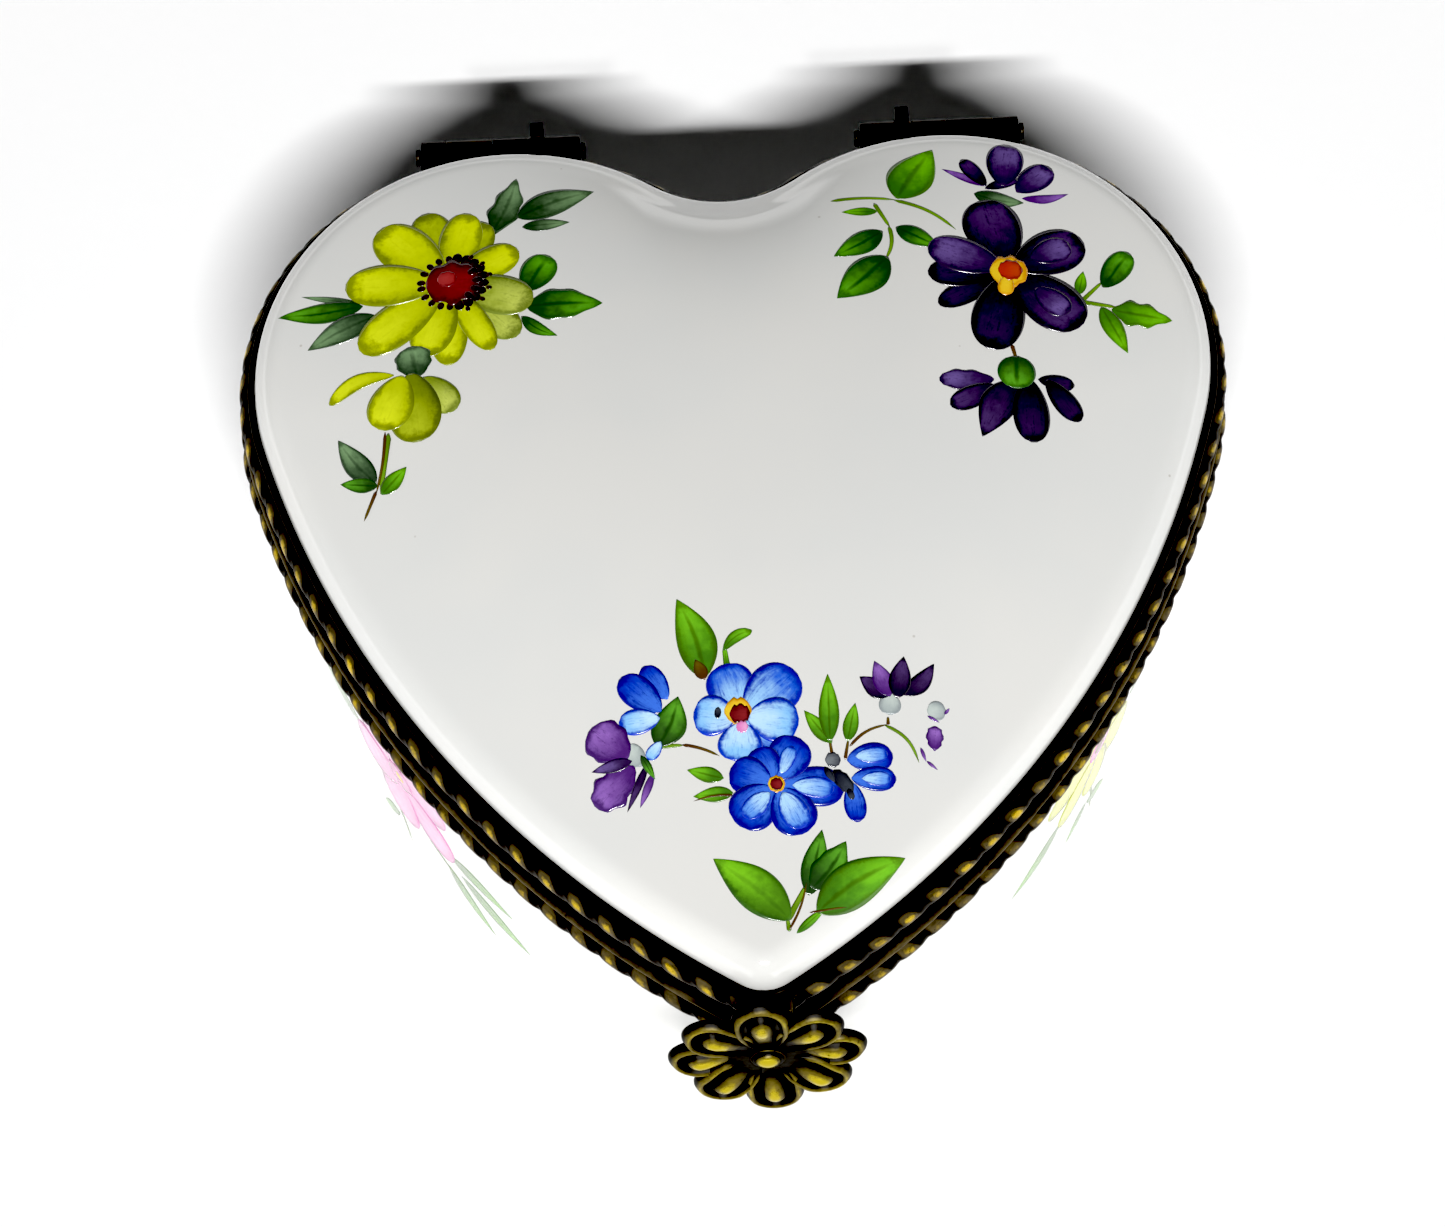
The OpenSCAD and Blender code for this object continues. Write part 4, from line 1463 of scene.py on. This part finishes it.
@dataclass
class Trimmed:
    """A CAD node with its edges broken, as a hinge maker's file would."""

    node: str
    body: str
    slot: str
    edge: float = 0.06
    stands: float = 0.45

    def build(self, finishes: Finishes) -> None:
        """Builds the piece from a merged copy of the node."""
        work = Work()
        work.bm.from_mesh(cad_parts[self.node].data)
        work.relief = work.bm.verts.layers.float.get("relief") or work.bm.verts.layers.float.new("relief")
        bmesh.ops.scale(work.bm, vec=(1 / MM, 1 / MM, 1 / MM), verts=work.bm.verts)
        bmesh.ops.remove_doubles(work.bm, verts=work.bm.verts, dist=0.0005)
        flat = math.radians(0.5)
        bmesh.ops.dissolve_limit(work.bm, angle_limit=flat, verts=work.bm.verts, edges=work.bm.edges)
        centres = [f.calc_center_median() for f in work.bm.faces]
        middle = sum(centres, Vector()) / max(1, len(centres))
        work.rounded(self.edge, 2, 40)
        for v in work.bm.verts:
            v[work.relief] = self.stands + 0.25 * (noise.noise((v.co - middle) * 1.7))
        work.piece("trim_" + self.node, self.body, self.slot, finishes, [self.node], recalc=False)


# ---- Studio -----------------------------------------------------------------------------------------


@dataclass
class Studio:
    """Pale table, a strip of light from the front, the room round it, and the camera."""

    elevation: float = 62.0
    azimuth: float = -1.238
    roll: float = -1.506
    distance: float = 343.5
    target: tuple[float, float, float] = (-1.296, -1.226, 19.65)
    lens: float = 143.0
    key_elevation: float = 50.3
    key_distance: float = 3.0
    key_size: Point = (0.95, 0.05)
    key_power: float = 117.0
    room_strength: float = 1.45
    room_stops: Sequence[Point] = ((0.0, 1.0), (0.11, 0.88), (0.24, 0.04), (0.42, 0.005), (1.0, 0.005))
    black_level: float = 0.055

    def floor(self) -> None:
        """Lays the table top."""
        bm = bmesh.new()
        bmesh.ops.create_grid(bm, x_segments=8, y_segments=8, size=2.5)
        mesh = bpy.data.meshes.new("table_top")
        bm.to_mesh(mesh)
        bm.free()
        mesh.materials.append(TableTop().make())
        table = bpy.data.objects.new("table_top", mesh)
        bpy.context.scene.collection.objects.link(table)

    def key(self) -> None:
        """Hangs the key, a long strip aimed at the box from the front."""
        e = math.radians(self.key_elevation)
        away = Vector((0, -math.cos(e), math.sin(e)))
        lamp = bpy.data.lights.new("key_strip", "AREA")
        lamp.shape = "RECTANGLE"
        lamp.size, lamp.size_y = self.key_size
        lamp.energy = self.key_power
        thing = bpy.data.objects.new("key_strip", lamp)
        thing.matrix_world = Matrix.Translation(away * self.key_distance) @ \
            away.to_track_quat("Z", "Y").to_matrix().to_4x4()
        bpy.context.scene.collection.objects.link(thing)

    def air(self) -> None:
        """Sets the room: dark overhead, with a bright band low down all round."""
        world = bpy.data.worlds.new("studio_room")
        world.use_nodes = True
        tree = world.node_tree
        way = tree.nodes.new("ShaderNodeTexCoord")
        split = tree.nodes.new("ShaderNodeSeparateXYZ")
        ramp = tree.nodes.new("ShaderNodeValToRGB")
        tree.links.new(way.outputs["Generated"], split.inputs[0])
        tree.links.new(split.outputs[2], ramp.inputs[0])
        while len(ramp.color_ramp.elements) < len(self.room_stops):
            ramp.color_ramp.elements.new(1.0)
        for element, (place, level) in zip(ramp.color_ramp.elements, self.room_stops):
            element.position = place
            element.color = (level, level, level, 1.0)
        tree.links.new(ramp.outputs[0], tree.nodes["Background"].inputs["Color"])
        tree.nodes["Background"].inputs["Strength"].default_value = self.room_strength
        bpy.context.scene.world = world

    def camera(self) -> None:
        """Sets up the camera at its viewing angle."""
        e, a, r = (math.radians(v) for v in (self.elevation, self.azimuth, self.roll))
        back = Vector((math.sin(a) * math.cos(e), -math.cos(a) * math.cos(e), math.sin(e)))
        right = Vector((math.cos(a), math.sin(a), 0))
        up = back.cross(right)
        right, up = right * math.cos(r) + up * math.sin(r), up * math.cos(r) - right * math.sin(r)
        data = bpy.data.cameras.new("studio_camera")
        data.sensor_width = 36.0
        data.lens = self.lens
        data.clip_start = 0.01
        data.clip_end = 20.0
        camera = bpy.data.objects.new("studio_camera", data)
        turn = Matrix((right, up, back)).transposed().to_4x4()
        place = (Vector(self.target) + back * self.distance) * MM
        camera.matrix_world = Matrix.Translation(place) @ turn
        bpy.context.scene.collection.objects.link(camera)
        bpy.context.scene.camera = camera

    def build(self) -> None:
        """Sets up the whole studio."""
        self.floor()
        self.key()
        self.air()
        self.camera()
        view = bpy.context.scene.view_settings
        view.view_transform = "Standard"
        view.use_curve_mapping = True
        view.curve_mapping.black_level = (self.black_level,) * 3


# ---- The whole box ---------------------------------------------------------------------------------


def base_bezel() -> Bezel:
    """Base bezel: skirt, plain bead and the flat flange over the cup's rim."""
    bead = half_round(0.75, 0.25, 20.65, 0.6)
    section = [(3.9, 21.65), (1.2, 21.65), (1.2, 18.85), (0.75, 18.85), (0.75, 20.6), *bead, (0.75, 21.3),
               (0.75, 22.1), (3.9, 22.1)]
    stands = [0.3, 0.1, 0.1, 0.15, 0.05, *(0.2 + 0.4 * math.sin(math.pi * i / 11) for i in range(12)), 0.05,
              0.18, 0.5]
    return Bezel("base_bezel_ring", "base", "base_bezel", section, stands)


def lid_bezel() -> Bezel:
    """Lid bezel: flange, skirt and the smooth edge that holds the porcelain."""
    section = [(3.9, 22.22), (0.75, 22.22), (0.75, 24.5), (0.79, 24.74), (0.9, 24.88), (1.03, 24.92),
               (1.2, 24.92), (1.2, 22.67), (3.9, 22.67)]
    stands = [0.5, 0.2, 0.08, 0.1, 0.1, 0.05, 0.0, 0.1, 0.4]
    return Bezel("lid_bezel_ring", "lid", "lid_bezel", section, stands)


def main() -> None:
    """Builds the box piece by piece around the frame."""
    logging.basicConfig(level=logging.INFO, format="%(name)s: %(message)s")
    finishes = Finishes()
    lid = LidShell().build(finishes)
    cup = CupShell().build(finishes)
    base_bezel().build(finishes)
    lid_bezel().build(finishes)
    # The base rope takes a smaller rub than the lid rope, which makes it darker overall: partly less wear,
    # partly painted shade.
    Rope("base_rope_moulding", "base", "base_rope", 0.0, 19.0, 82, rub=0.84).build(finishes)
    Rope("lid_rope_moulding", "lid", "lid_rope", 0.2, 22.92, 81,
         ((-1.6, 1.6, -1.0), (8.5, 18.7, 1.0), (-18.7, -8.5, 1.0)), rub=0.93).build(finishes)
    Painting().build(finishes, lid, cup)
    FlowerClasp().build(finishes)
    for side in ("left", "right"):
        for node, body in (("hinge_base_leaf_", "base"), ("hinge_lid_leaf_", "lid"), ("hinge_pin_", "base"),
                           ("stop_lug_", "base")):
            Trimmed(node + side, body, "hinge_brass").build(finishes)
    Trimmed("clasp_bracket", "lid", "antique_brass", 0.1).build(finishes)
    Trimmed("clasp_tongue", "clasp", "hinge_brass", 0.05).build(finishes)
    for node, slot in (("clasp_rivet", "hinge_brass"), ("catch_stud", "hinge_brass"),
                       ("base_cement", "plaster"), ("lid_cement", "plaster")):
        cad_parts[node].data.materials.clear()
        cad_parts[node].data.materials.append(finishes.by_slot[slot])
        LOG.info("%s dressed in %s", node, slot)
    Studio().build()


if __name__ == "__main__":
    main()
